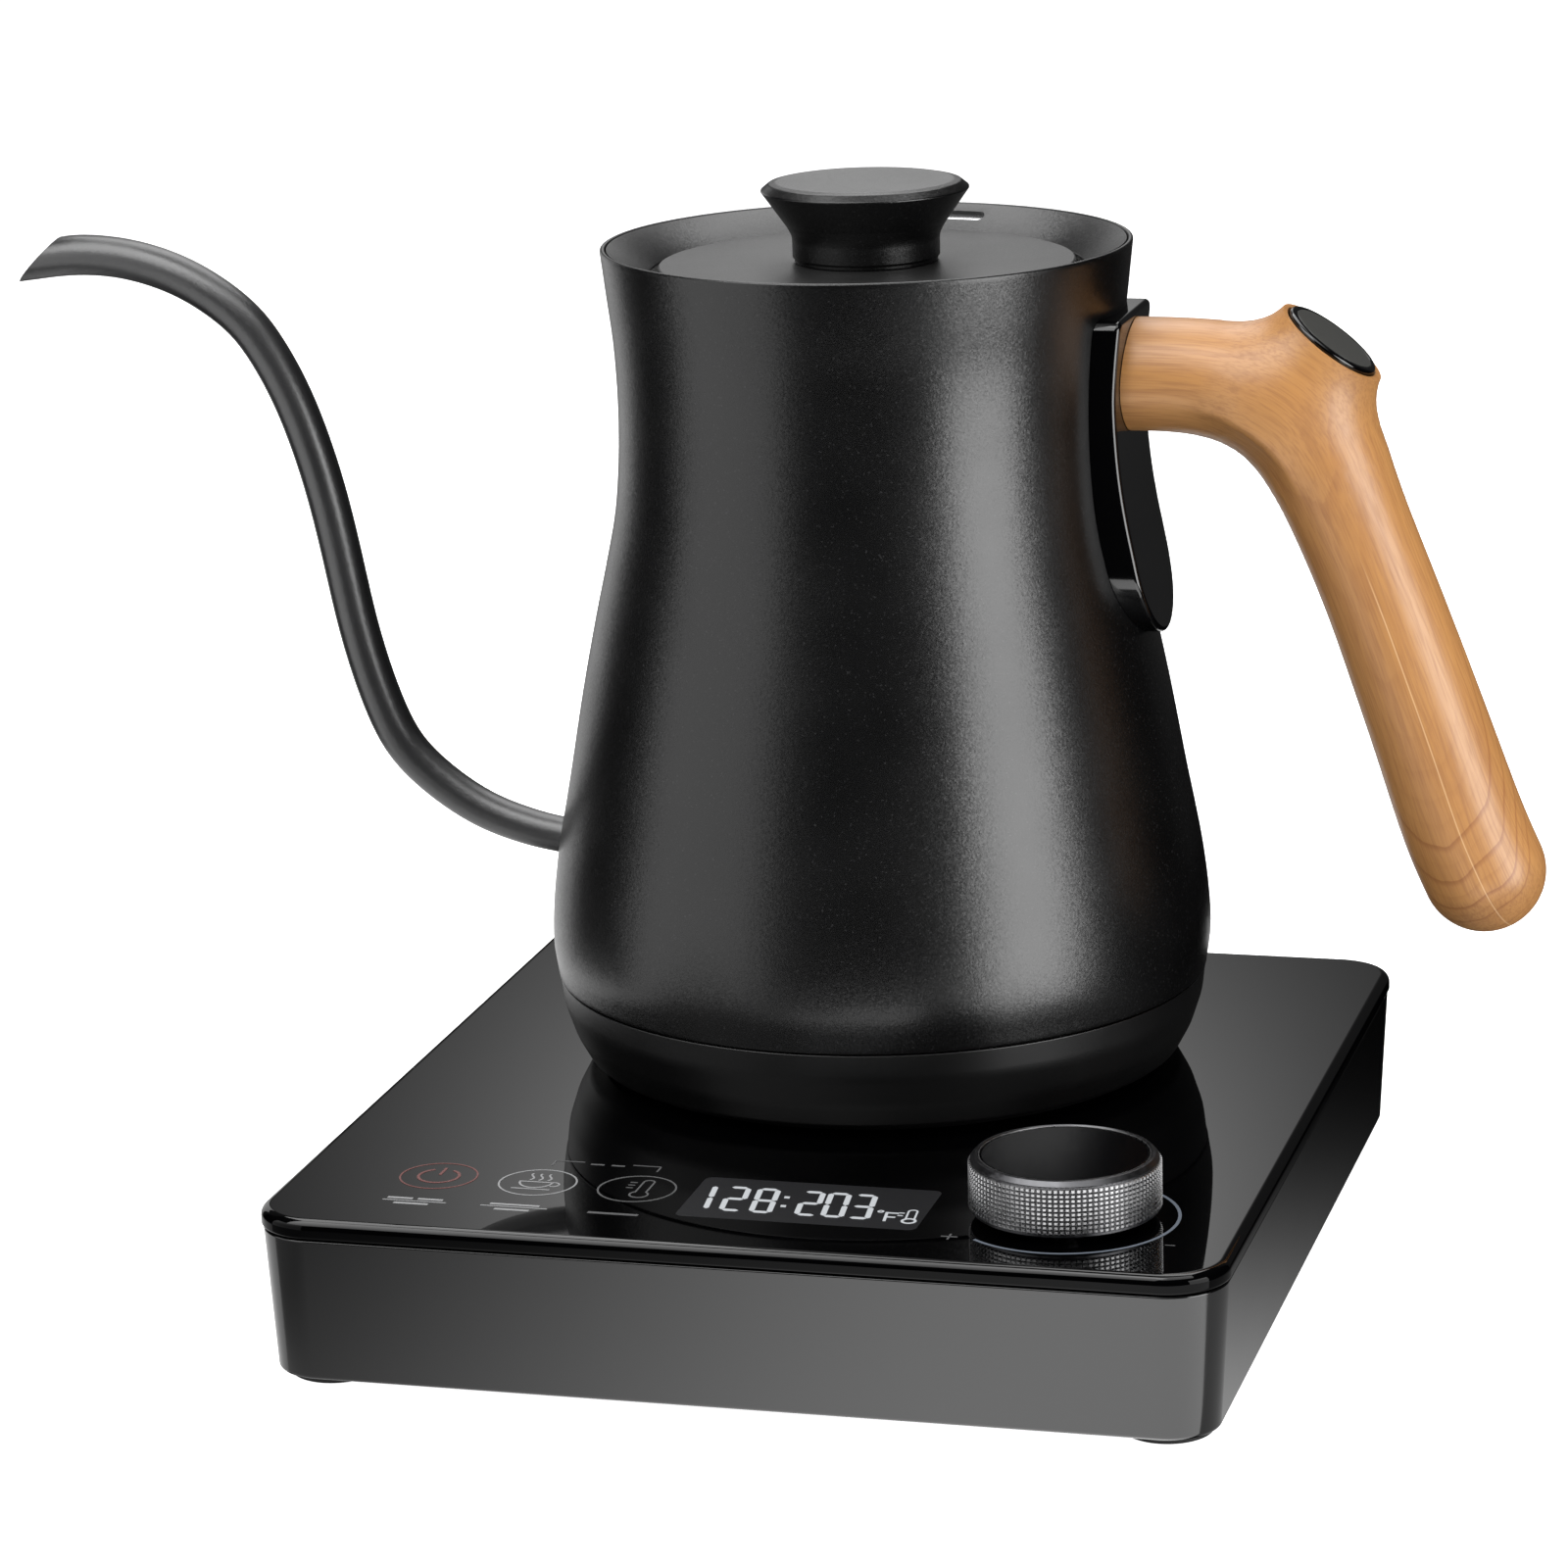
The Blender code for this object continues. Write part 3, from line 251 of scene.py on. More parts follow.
class Finish(NodeTree):
    """The surface of a piece, on a Principled shader."""

    def __init__(self, name, colour, roughness, metallic=0.0, **constants):
        super().__init__(name)
        self.shader = self.nodes["Principled BSDF"]
        self.colour = colour
        self.put("Base Color", (*colour, 1.0))
        self.put("Roughness", roughness)
        self.put("Metallic", metallic)
        for key, value in constants.items():
            self.put(key.replace("_", " ").title().replace("Ior", "IOR"), value)

    def put(self, socket, value):
        self.join(value, self.shader.inputs[socket])

    def noise(self, size, vector=None, detail=2.0):
        """Noise whose features are about size metres across, from 0 to 1."""
        inputs = {"Vector": vector or self.place(), "Scale": 1 / size, "Detail": detail}
        return self.node("ShaderNodeTexNoise", inputs).outputs[0]

    def mix(self, factor, a, b):
        made = self.node("ShaderNodeMix", data_type="RGBA")
        sockets = [socket for socket in made.inputs if socket.enabled]
        for socket, value in zip(sockets, (factor, a, b)):
            self.join((*value, 1.0) if isinstance(value, tuple) else value, socket)
        return [socket for socket in made.outputs if socket.enabled][0]

    def mottle(self, pattern, dark, light):
        """The finish's own colour, darker and lighter by a pattern."""
        self.put("Base Color", self.mix(pattern, tinted(self.colour, dark), tinted(self.colour, light)))

    def bump(self, height, depth, strength, normal=None):
        inputs = {"Height": height, "Distance": depth, "Strength": strength}
        if normal:
            inputs["Normal"] = normal
        self.put("Normal", self.node("ShaderNodeBump", inputs).outputs[0])


RING_DEPTH = 0.030           # the growth rings' centre, behind the handle's middle plane
RING_SPACING = 0.00165
WOOD_DEEP = (0.375, 0.168, 0.050)
WOOD_LIGHT = (0.475, 0.240, 0.080)
WOOD_FIBRE = (0.270, 0.108, 0.034)
WOOD_RING = (0.220, 0.068, 0.020)
WOOD_SEAM = (0.86, 0.62, 0.36)
RING_WANDER = 0.0060         # how far the rings stray sideways
RING_UNEVEN = 0.0070         # and in depth
ELBOW_LENGTH = 0.075         # length along the handle at which its straight lower part begins
SEAM_PLACE = -0.0012         # the pale line down the front
FLAKE_COLOUR = (0.014, 0.014, 0.0145)
FLAKE_SIZE = 0.00030
FLAKE_TILT = 0.055           # how far the single flakes lean out of the surface
COAT_TEXTURE = 0.00052
BRUSH_STRETCH = (1.0, 1.0, 40.0)


def powder_coat(name, colour, roughness, **constants):
    """Fine-textured powder coat with a few lighter flakes, each leaning its own way."""
    made = Finish(name, colour, roughness, **constants)
    grain = made.noise(COAT_TEXTURE, detail=3.0)
    clouds = made.noise(0.018, detail=2.0)
    voronoi = {"Vector": made.place(), "Scale": 1 / FLAKE_SIZE}
    cells = made.node("ShaderNodeTexVoronoi", voronoi).outputs["Color"]
    pick = made.node("ShaderNodeSeparateColor", {0: cells}).outputs[0]
    flake = made.times(made.band(pick, 0.90, 1.0), made.band(grain, 0.42, 0.60))
    body = made.mix(clouds, tinted(colour, 0.80), tinted(colour, 1.25))
    made.put("Base Color", made.mix(flake, body, FLAKE_COLOUR))
    made.put("Roughness", made.band(clouds, 0.2, 0.8, roughness - 0.02, roughness + 0.02))
    lean = made.vector("SUBTRACT", cells, (0.5, 0.5, 0.5))
    straight = made.node("ShaderNodeNewGeometry").outputs["Normal"]
    tilted = made.vector("MULTIPLY_ADD", lean, (FLAKE_TILT,) * 3, straight)
    made.bump(grain, 0.00004, 0.6, made.vector("NORMALIZE", tilted))
    return made.material


def moulded(name, colour, roughness, grain=0.0006, depth=0.000008, **constants):
    """Moulded plastic or rubber: faint mottling, fine grain."""
    made = Finish(name, colour, roughness, **constants)
    clouds = made.noise(0.022)
    made.mottle(clouds, 0.90, 1.12)
    made.put("Roughness", made.band(clouds, 0.25, 0.75, roughness * 0.92, roughness * 1.10))
    made.bump(made.noise(grain, detail=3.0), depth, 0.6)
    return made.material


def brushed(name, colour, roughness):
    """Metal with fine scratches, drawn out along one direction."""
    made = Finish(name, colour, roughness, 1.0)
    scratches = made.noise(0.006, made.vector("MULTIPLY", made.place(), BRUSH_STRETCH), 4.0)
    made.mottle(scratches, 0.82, 1.12)
    made.put("Roughness", made.band(made.noise(0.015), 0.2, 0.8, roughness * 0.85, roughness * 1.2))
    made.bump(scratches, 0.000012, 0.5)
    return made.material


def machined(name, colour, roughness):
    """Metal with a fine even texture and a little tarnish."""
    made = Finish(name, colour, roughness, 1.0)
    tarnish = made.noise(0.0012, detail=3.0)
    made.mottle(tarnish, 0.80, 1.10)
    made.put("Roughness", made.band(tarnish, 0.2, 0.8, roughness * 0.8, roughness * 1.25))
    made.bump(made.noise(0.0003), 0.000006, 0.4)
    return made.material


def black_glass(name):
    """Back-painted glass: deep black under a clear polished face, with a faint haze and a duller edge."""
    made = Finish(name, (0.0005, 0.0005, 0.0006), 0.02, ior=1.50)
    haze = made.noise(0.030, detail=3.0)
    made.mottle(haze, 0.5, 1.5)
    made.put("Roughness", made.band(haze, 0.3, 0.7, 0.012, 0.030))
    upward = made.split(made.node("ShaderNodeNewGeometry").outputs["Normal"])[2]
    made.put("Specular IOR Level", made.band(upward, 0.30, 0.99, 0.06, 0.50))
    return made.material


def varnished_wood(name):
    """Carved hardwood under satin varnish. The attribute "grain" holds each vertex's place across, into and
    along the handle. Growth rings lie behind the handle and dip towards its end, so that they meet the
    surface in long nested arches."""
    made = Finish(name, (0.62, 0.36, 0.16), 0.40, coat_weight=0.22, coat_roughness=0.33)
    place = made.node("ShaderNodeAttribute", attribute_name="grain").outputs["Vector"]
    across, depth, length = made.split(place)

    def pattern(crosswise, lengthwise, detail):
        """Noise with its own fineness across and along the handle, in features per metre."""
        return made.noise(1.0, made.vector("MULTIPLY", place, (crosswise, crosswise, lengthwise)), detail)

    wander = pattern(48.0, 20.0, 2.0)
    sideways = made.minus(across, made.times(wander, RING_WANDER))
    behind = made.minus(RING_DEPTH, depth)
    sideways = made.plus(sideways, RING_WANDER)
    squares = made.plus(made.math("POWER", behind, 2.0), made.math("POWER", sideways, 2.0))
    low_part = made.math("MAXIMUM", made.minus(length, ELBOW_LENGTH), 0.0)
    dip = made.plus(made.times(length, 0.035), made.times(made.math("POWER", low_part, 2.0), 4.2))
    reach = made.minus(made.math("SQRT", squares), dip)
    uneven = made.plus(made.times(pattern(260.0, 60.0, 3.0), 0.0006), made.times(wander, RING_UNEVEN))
    count = made.math("DIVIDE", made.plus(reach, uneven), RING_SPACING)
    phase = made.math("FRACT", count)
    late = made.times(made.band(phase, 0.55, 0.93), made.band(phase, 0.93, 1.0, 1.0, 0.0))
    number = {"W": made.math("FLOOR", count)}
    picked = made.node("ShaderNodeTexWhiteNoise", number, noise_dimensions="1D").outputs[0]
    line = made.times(late, made.band(picked, 0.25, 0.95, 0.12, 1.0))
    line = made.times(line, made.band(length, 0.045, 0.068, 0.30, 1.0))      # fainter before the elbow
    fibre = pattern(2600.0, 120.0, 3.0)
    base = made.mix(pattern(70.0, 24.0, 2.0), WOOD_DEEP, WOOD_LIGHT)
    streaked = made.mix(made.band(pattern(700.0, 26.0, 3.0), 0.46, 0.70, 0.0, 0.35), base, WOOD_FIBRE)
    fine = made.mix(made.band(fibre, 0.40, 0.72, 0.0, 0.50), streaked, WOOD_FIBRE)
    ringed = made.mix(made.times(line, 0.62), fine, WOOD_RING)
    front = made.math("LESS_THAN", depth, 0.0)
    off_seam = made.math("ABSOLUTE", made.minus(across, SEAM_PLACE))
    seam = made.times(made.band(off_seam, 0.00006, 0.00016, 1.0, 0.0), front)
    low_half = made.times(made.band(length, 0.060, ELBOW_LENGTH), 0.35)
    made.put("Base Color", made.mix(made.times(seam, low_half), ringed, WOOD_SEAM))
    made.put("Roughness", made.band(fibre, 0.3, 0.7, 0.36, 0.48))
    made.bump(made.minus(made.times(fibre, 0.6), made.times(line, 0.4)), 0.00003, 0.5)
    return made.material


def glowing(name, colour, strength, base):
    """Ink or a lit segment: flat colour of its own with a little light."""
    made = Finish(name, base, 0.35)
    made.mottle(made.noise(0.002), 0.9, 1.1)
    made.put("Emission Color", (*colour, 1.0))
    made.put("Emission Strength", strength)
    return made.material


FINISHES = {
    "coated_steel": powder_coat("coated_steel", (0.0009, 0.0009, 0.0010), 0.30),
    # The spout's coat is the body's coat painted several times lighter: painted light standing in for the
    # broad light the spout catches.
    "spout_coat_painted_light": powder_coat("spout_coat_painted_light", (0.0075, 0.0075, 0.0082), 0.36, specular_ior_level=1.0),
    # The lid's coat is the same coat painted lighter: painted light for the lid's top, which faces the bright
    # surroundings.
    "lid_coat_painted_light": powder_coat("lid_coat_painted_light", (0.0120, 0.0120, 0.0120), 0.42),
    "bare_steel": brushed("bare_steel", (0.62, 0.62, 0.63), 0.26),
    "skirt_plastic": moulded("skirt_plastic", (0.0010, 0.0010, 0.0011), 0.36, 0.0005),
    "gloss_trim": moulded("gloss_trim", (0.0012, 0.0012, 0.0014), 0.09, 0.004, 0.000003),
    "dial_gloss": moulded("dial_gloss", (0.0010, 0.0010, 0.0013), 0.07, 0.004, 0.000002,
                          specular_ior_level=0.15),
    "cap_face": moulded("cap_face", (0.045, 0.045, 0.042), 0.30, 0.0008, 0.000004),
    "handle_wood": varnished_wood("handle_wood"),
    "panel_glass": black_glass("panel_glass"),
    "housing_plastic": moulded("housing_plastic", (0.0016, 0.0016, 0.0017), 0.14, 0.006, 0.000003),
    "dial_metal": machined("dial_metal", (0.34, 0.34, 0.345), 0.30),
    "dial_rim": machined("dial_rim", (0.10, 0.10, 0.105), 0.34),
    "foot_rubber": moulded("foot_rubber", (0.012, 0.012, 0.012), 0.70, 0.0005, 0.00002),
    "seal_silicone": moulded("seal_silicone", (0.72, 0.72, 0.71), 0.55),
    "cast_aluminium": machined("cast_aluminium", (0.66, 0.66, 0.67), 0.42),
    "board_green": moulded("board_green", (0.02, 0.13, 0.05), 0.42, 0.0012, 0.00002),
    "nylon": moulded("nylon", (0.76, 0.75, 0.71), 0.48),
    "display_glass": moulded("display_glass", (0.012, 0.012, 0.013), 0.16, 0.003, 0.000002),
    "light_guide": moulded("light_guide", (0.72, 0.76, 0.80), 0.30),
    "relay_blue": moulded("relay_blue", (0.04, 0.10, 0.32), 0.40),
    "digit_light": glowing("digit_light", (0.78, 0.82, 0.86), 0.62, (0.10, 0.10, 0.10)),
    "window_glow": glowing("window_glow", (0.035, 0.036, 0.038), 0.16, (0.010, 0.010, 0.011)),
    "ink_pale": glowing("ink_pale", (0.55, 0.56, 0.58), 0.30, (0.14, 0.14, 0.14)),
    "ink_dim": glowing("ink_dim", (0.50, 0.51, 0.53), 0.10, (0.06, 0.06, 0.06)),
    "ink_red": glowing("ink_red", (0.55, 0.20, 0.17), 0.17, (0.06, 0.02, 0.02)),
    "ring_light": glowing("ring_light", (0.42, 0.50, 0.62), 0.20, (0.05, 0.055, 0.065)),
}
CARRIED = {                  # CAD pieces whose shape stays, by finish
    "bare_steel": ["vessel_floor", "heater_ring", "temperature_probe", "handle_bolt", "encoder_body",
                   "encoder_shaft", "lid_cup", "lid_screw", *(f"underside_screw_{i}" for i in (1, 2, 3)),
                   *(f"bracket_stud_{i}" for i in (1, 2)), *(f"base_screw_{i}" for i in (1, 2, 3, 4))],
    "skirt_plastic": ["kettle_underside", "kettle_connector", "base_bottom", "base_connector", "buzzer",
                      "dial_core", "thermal_cutout", "terminal_block"],
    "gloss_trim": ["transformer"],
    "cast_aluminium": ["heater_plate", "capacitor"],
    "nylon": ["glide_ring"],
    "display_glass": ["display_module"],
    "board_green": ["control_board", "power_board"],
    "foot_rubber": ["touch_pad_power", "touch_pad_heat", "touch_pad_hold"],
    "light_guide": ["dial_light_ring"],
    "relay_blue": ["relay"],
    "seal_silicone": ["lid_seal"],
}


# ---- pieces ------------------------------------------------------------------------------------------------
def linked(name, data):
    """A new object in the scene."""
    obj = bpy.data.objects.new(name, data)
    bpy.context.scene.collection.objects.link(obj)
    return obj


def mesh_of(name, bm):
    """A new mesh from a bmesh, which is used up."""
    mesh = bpy.data.meshes.new(name)
    bm.to_mesh(mesh)
    bm.free()
    return mesh


def evaluated_mesh(obj):
    """A new mesh with the object's modifiers applied."""
    bpy.context.view_layer.update()
    return bpy.data.meshes.new_from_object(obj.evaluated_get(bpy.context.evaluated_depsgraph_get()))


def face_outward(bm):
    bmesh.ops.recalc_face_normals(bm, faces=bm.faces)
    if bm.calc_volume(signed=True) < 0:
        bmesh.ops.reverse_faces(bm, faces=bm.faces)


def piece(name, bm, finish, body, replaced=(), location=KETTLE, sharp=42, flat=False):
    """Turn a bmesh into a named piece that rides a body, with outward faces and even shading."""
    face_outward(bm)
    mesh = mesh_of(name, bm)
    mesh.materials.append(FINISHES[finish])
    if not flat:
        mesh.shade_smooth()
        mesh.set_sharp_from_angle(angle=math.radians(sharp))
    obj = linked(name, mesh)
    obj.location = location
    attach(obj, body)
    if replaced:
        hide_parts(*replaced)
    return obj


def even_shading(obj):
    """Large flat faces shade flat although their edges are round."""
    modifier = obj.modifiers.new("even_shading", "WEIGHTED_NORMAL")
    modifier.weight = 80         # of 100: how strongly the larger faces lead
    modifier.keep_sharp = True
    return obj


def turned_mesh(outline, sides=ROUND):
    """A closed outline of (radius, z) points turned about Z; a radius of 0 makes a pole."""
    bm = bmesh.new()
    rings = []
    for radius, z in outline:
        if radius < 1e-7:
            rings.append([bm.verts.new((0, 0, z))])
            continue
        turns = (2 * math.pi * i / sides for i in range(sides))
        rings.append([bm.verts.new((radius * math.cos(a), radius * math.sin(a), z)) for a in turns])
    for low, high in zip(rings, rings[1:] + rings[:1]):
        if len(low) == 1 and len(high) == 1:
            continue
        for i in range(sides):
            j = (i + 1) % sides
            corners = [low[i % len(low)], low[j % len(low)], high[j % len(high)], high[i % len(high)]]
            bm.faces.new(list(dict.fromkeys(corners)))
    return bm


def turned(name, corners, finish, body, replaced=(), location=KETTLE, sides=ROUND, steps=5):
    obj = piece(name, turned_mesh(filleted(corners, steps), sides), finish, body, replaced, location)
    return even_shading(obj)


def plug(radius, low, high, sides):
    """A closed cylinder about Z."""
    return turned_mesh([(0, low), (radius, low), (radius, high), (0, high)], sides)


def moved(bm, x, y, z=0.0):
    bmesh.ops.translate(bm, vec=(x, y, z), verts=bm.verts)
    return bm


def pointed(bm, place, direction):
    """Turn a mesh about Z so that it points along a direction from a place."""
    turn = direction.to_track_quat("Z", "Y").to_matrix().to_4x4()
    bmesh.ops.transform(bm, matrix=Matrix.Translation(place) @ turn, verts=bm.verts)
    return bm


def rod_mesh(radius, start, end, sides=32):
    run = Vector(end) - Vector(start)
    return pointed(plug(radius, 0, run.length, sides), Vector(start), run)


def carve(obj, cutters):
    """Cut closed bmeshes, given in the piece's own coordinates, out of a piece, and keep the result."""
    for bm in cutters:
        face_outward(bm)
        mesh = mesh_of("cutter", bm)
        tool = linked("cutter", mesh)
        tool.matrix_world = obj.matrix_world
        modifier = obj.modifiers.new("cut", "BOOLEAN")
        modifier.object = tool
        result = evaluated_mesh(obj)
        obj.modifiers.remove(modifier)
        obj.data = result
        bpy.data.objects.remove(tool)
        bpy.data.meshes.remove(mesh)
    return obj


def bridge(bm, low, high):
    """A band of faces between two rings with as many points; returns the faces."""
    pairs = zip(range(len(low)), [*range(1, len(low)), 0])
    return [bm.faces.new((low[i], low[j], high[j], high[i])) for i, j in pairs]


def skin(bm, rings, closed=True):
    """Bands of faces from ring to ring, with a face over each end where it is closed."""
    for low, high in zip(rings, rings[1:]):
        bridge(bm, low, high)
    if closed:
        bm.faces.new(rings[0])
        bm.faces.new(rings[-1])
    return bm


def rounded_rectangle(width, depth, corner, steps):
    points = []
    for quarter in range(4):
        sign_x = (1, -1, -1, 1)[quarter]
        sign_y = (1, 1, -1, -1)[quarter]
        for step in range(steps + 1):
            angle = math.pi / 2 * (quarter + step / steps)
            points.append((sign_x * (width / 2 - corner) + corner * math.cos(angle),
                           sign_y * (depth / 2 - corner) + corner * math.sin(angle)))
    return points


def stacked_mesh(layers, size, corner, steps):
    """A rounded box built from (inset, z) layers, closed at both ends."""
    bm = bmesh.new()
    rings = []
    for inset, z in layers:
        width, depth = (side - 2 * inset for side in size)
        outline = rounded_rectangle(width, depth, max(corner - inset, LEAST_CORNER), steps)
        rings.append([bm.verts.new((x, y, z)) for x, y in outline])
    return skin(bm, rings)


def edge_arc(inset, z, radius, lower, steps=6):
    """Layers that round an outer edge whose corner would be at (inset, z)."""
    out = []
    for step in range(steps + 1):
        angle = math.pi / 2 * step / steps
        if lower:
            out.append((inset + radius * (1 - math.sin(angle)), z + radius * (1 - math.cos(angle))))
        else:
            out.append((inset + radius * (1 - math.cos(angle)), z - radius * (1 - math.sin(angle))))
    return out


# ---- kettle body -------------------------------------------------------------------------------------------
def steel_body():
    count = 60
    low = BODY_PROFILE[0][0]
    heights = [low + 0.0010 + (RIM_Z - low - 0.0022) * i / count for i in range(count + 1)]
    edge = 0.00042
    corners = [(body_radius(low), low, edge)]
    corners += [(body_radius(z), z, 0) for z in heights]
    corners += [(body_radius(RIM_Z), RIM_Z, edge), (body_radius(RIM_Z) - SHELL_WALL, RIM_Z, edge)]
    corners += [(body_radius(z) - SHELL_WALL, z, 0) for z in reversed(heights)]
    corners += [(body_radius(low) - SHELL_WALL, low, edge)]
    body = piece("steel_body", turned_mesh(filleted(corners)), "coated_steel", "kettle", ["kettle_shell"],
                 sharp=60)
    inner, outer = SPOUT_PATH[0], SPOUT_PATH[2]
    hole = rod_mesh(inner[2] + TOUCH, (inner[0] + 0.004, 0, inner[1] - 0.0005), (outer[0], 0, outer[1]), 48)
    return carve(body, [hole])


CONE_LOW = Vector((0.0415, 0.1559))
CONE_HIGH = Vector((0.0496, 0.1611))
CONE_SLOPE = (CONE_HIGH.y - CONE_LOW.y) / (CONE_HIGH.x - CONE_LOW.x)
SLOT_RADIUS = 0.0465
SLOT_LENGTH = 0.0256
SLOT_HEIGHT = 0.0026


def cone_height(radius):
    return CONE_LOW.y + (radius - CONE_LOW.x) * CONE_SLOPE


def steam_slot(middle_angle, depth_out, depth_in):
    """A curved bar with round ends that follows the cone."""
    lean = math.atan(CONE_SLOPE)
    half = SLOT_HEIGHT / 2
    end = SLOT_LENGTH / 2
    bm = bmesh.new()
    sections = []
    for along in np.linspace(-end * 0.999, end * 0.999, 61):
        into_cap = max(abs(along) - (end - half), 0.0)
        height = math.sqrt(half ** 2 - into_cap ** 2)
        angle = middle_angle + along / SLOT_RADIUS
        ring = []
        for up, out in ((-1, -depth_in), (1, -depth_in), (1, depth_out), (-1, depth_out)):
            radius = SLOT_RADIUS + up * height * math.cos(lean) - out * math.sin(lean)
            z = cone_height(SLOT_RADIUS) + up * height * math.sin(lean) + out * math.cos(lean)
            ring.append(bm.verts.new((radius * math.cos(angle), radius * math.sin(angle), z)))
        sections.append(ring)
    return skin(bm, sections)


def collar():
    outer = body_radius(0.160) - SHELL_WALL - TOUCH
    corners = [(outer, cone_height(outer) - 0.0002, 0.00012), (CONE_LOW.x, CONE_LOW.y, 0.0005),
               (0.0415, 0.1526, 0.0004), (0.0372, 0.1526, 0.0003), (0.0372, 0.1508, 0.0003),
               (0.0426, 0.1508, 0.0008), (0.0440, 0.1545, 0.0008),
               (body_radius(0.158) - SHELL_WALL - TOUCH, 0.1588, 0)]
    ring = piece("rim_cone", turned_mesh(filleted(corners)), "coated_steel", "kettle", ["rim_collar"])
    slots = (("slot_liner_back", math.pi / 2), ("slot_liner_front", 3 * math.pi / 2))
    carve(ring, [steam_slot(angle, 0.004, 0.004) for _, angle in slots])
    for name, angle in slots:
        piece(name, steam_slot(angle, -0.0011, 0.0015), "bare_steel", "kettle")


def tube_mesh(path, radii, sides, slant):
    """A tube along a path in the plane y = 0; its rings lean more and more towards the end's slope."""
    bm = bmesh.new()
    rings = []
    left = [0.0]
    for here, ahead in zip(reversed(path[:-1]), reversed(path[1:])):
        left.append(left[-1] + (ahead - here).length)
    leans = [slant * max(1 - rest / LEAN_REACH, 0.0) for rest in reversed(left)]
    for i, point in enumerate(path):
        tangent = (path[min(i + 1, len(path) - 1)] - path[max(i - 1, 0)]).normalized()
        normal = Vector((tangent.z, 0, -tangent.x))
        ring = []
        for k in range(sides):
            angle = 2 * math.pi * k / sides
            place = point + normal * math.cos(angle) * radii[i] + Vector((0, math.sin(angle) * radii[i], 0))
            place += tangent * leans[i] * radii[i] * math.cos(angle)
            ring.append(bm.verts.new(place))
        rings.append(ring)
    return skin(bm, rings, closed=False)


def gooseneck():
    steps = 8
    sides = 48
    path = eased(smooth_curve([(x, 0, z) for x, z, _ in SPOUT_PATH], steps), 14)
    radii = [p[0] for p in smooth_curve([(r, 0, 0) for _, _, r in SPOUT_PATH], steps)]
    outer = tube_mesh(path, radii, sides, -BEAK_SLANT)
    inner = tube_mesh(path, [r - SPOUT_WALL for r in radii], sides, -BEAK_SLANT)
    bore = mesh_of("spout_bore", inner)
    count = len(outer.verts)
    outer.from_mesh(bore)
    bpy.data.meshes.remove(bore)
    verts = list(outer.verts)
    for first in (0, count - sides):
        bridge(outer, verts[first:first + sides], verts[count + first:count + first + sides])
    # The spout's finish is the body's coat painted lighter, as painted light.
    return piece("gooseneck", outer, "spout_coat_painted_light", "kettle", ["spout_tube"])


def skirt():
    top = BODY_PROFILE[0][0] - 0.0003
    corners = [(0.0635, top, 0.0002), (0.0629, 0.0130, 0.012), (0.0610, 0.0072, 0.012),
               (0.0585, 0.0026, 0.0025), (0.0555, 0.0011, 0.0008), (0.0535, 0.0011, 0.0004),
               (0.0535, 0.0050, 0.001), (0.0592, 0.0105, 0.003), (0.0612, top, 0.0002)]
    return turned("skirt", corners, "skirt_plastic", "kettle", ["base_skirt"], steps=8)


# ---- handle ------------------------------------------------------------------------------------------------
def bracket_outline(inset):
    """(y, z) points round the bracket: a round lower end, straight sides, small upper corners."""
    big = BRACKET_HALF_WIDTH
    small = 0.0022
    points = []
    spine_low = BRACKET_LOW_Z + big
    spine_high = BRACKET_HIGH_Z - small
    rises = [spine_low + (spine_high - spine_low) * step / 24 for step in range(1, 24)]
    for step in range(49):
        angle = math.pi + math.pi * step / 48
        points.append(((big - inset) * math.cos(angle), spine_low + (big - inset) * math.sin(angle)))
    points += [(big - inset, z) for z in rises]
    for side, first in ((1, 0.0), (-1, math.pi / 2)):
        for step in range(9):
            angle = first + math.pi / 2 * step / 8
            points.append((side * (big - small) + (small - inset) * math.cos(angle),
                           spine_high + (small - inset) * math.sin(angle)))
    points += [(inset - big, z) for z in reversed(rises)]
    return points


def bracket_front(z):
    return value_at(BRACKET_FRONT, z)


def bracket_back(y, z):
    return math.sqrt((body_radius(z) + TOUCH) ** 2 - y ** 2)


def filled_face(bm, ring, places, depth_at):
    """Close a ring of the bracket with rows that shrink to its middle line."""
    rows = 7
    spine_low = BRACKET_LOW_Z + BRACKET_HALF_WIDTH
    spine_high = BRACKET_HIGH_Z - 0.004
    last = ring
    for row in range(1, rows + 1):
        share = 1 - row / rows
        fresh = []
        for y, z in places:
            centre = min(max(z, spine_low), spine_high)
            here = (y * share, centre + (z - centre) * share)
            fresh.append(bm.verts.new((depth_at(*here), *here)))
        bridge(bm, last, fresh)
        last = fresh


def bracket():
    bm = bmesh.new()
    edge = 0.0011
    rings = []
    back = bracket_outline(0.0)
    rings.append([bm.verts.new((bracket_back(y, z), y, z)) for y, z in back])
    for step in range(8):
        angle = math.pi / 2 * step / 7
        outline = bracket_outline(edge * (1 - math.cos(angle)))
        drop = edge * (1 - math.sin(angle))
        rings.append([bm.verts.new((bracket_front(z) - drop, y, z)) for y, z in outline])
    skin(bm, rings, closed=False)
    filled_face(bm, rings[0], back, bracket_back)
    filled_face(bm, rings[-1], outline, lambda y, z: bracket_front(z))
    bmesh.ops.remove_doubles(bm, verts=bm.verts, dist=0.00001)
    obj = piece("bracket", bm, "gloss_trim", "kettle", ["handle_bracket"], sharp=60)
    carve(obj, [rod_mesh(BOLT_HOLE, (0.044, 0, ARM_Z), (0.058, 0, ARM_Z)),
                rod_mesh(BOLT_HEAD_POCKET, (0.044, 0, ARM_Z), (0.0506, 0, ARM_Z))])
    return even_shading(obj)


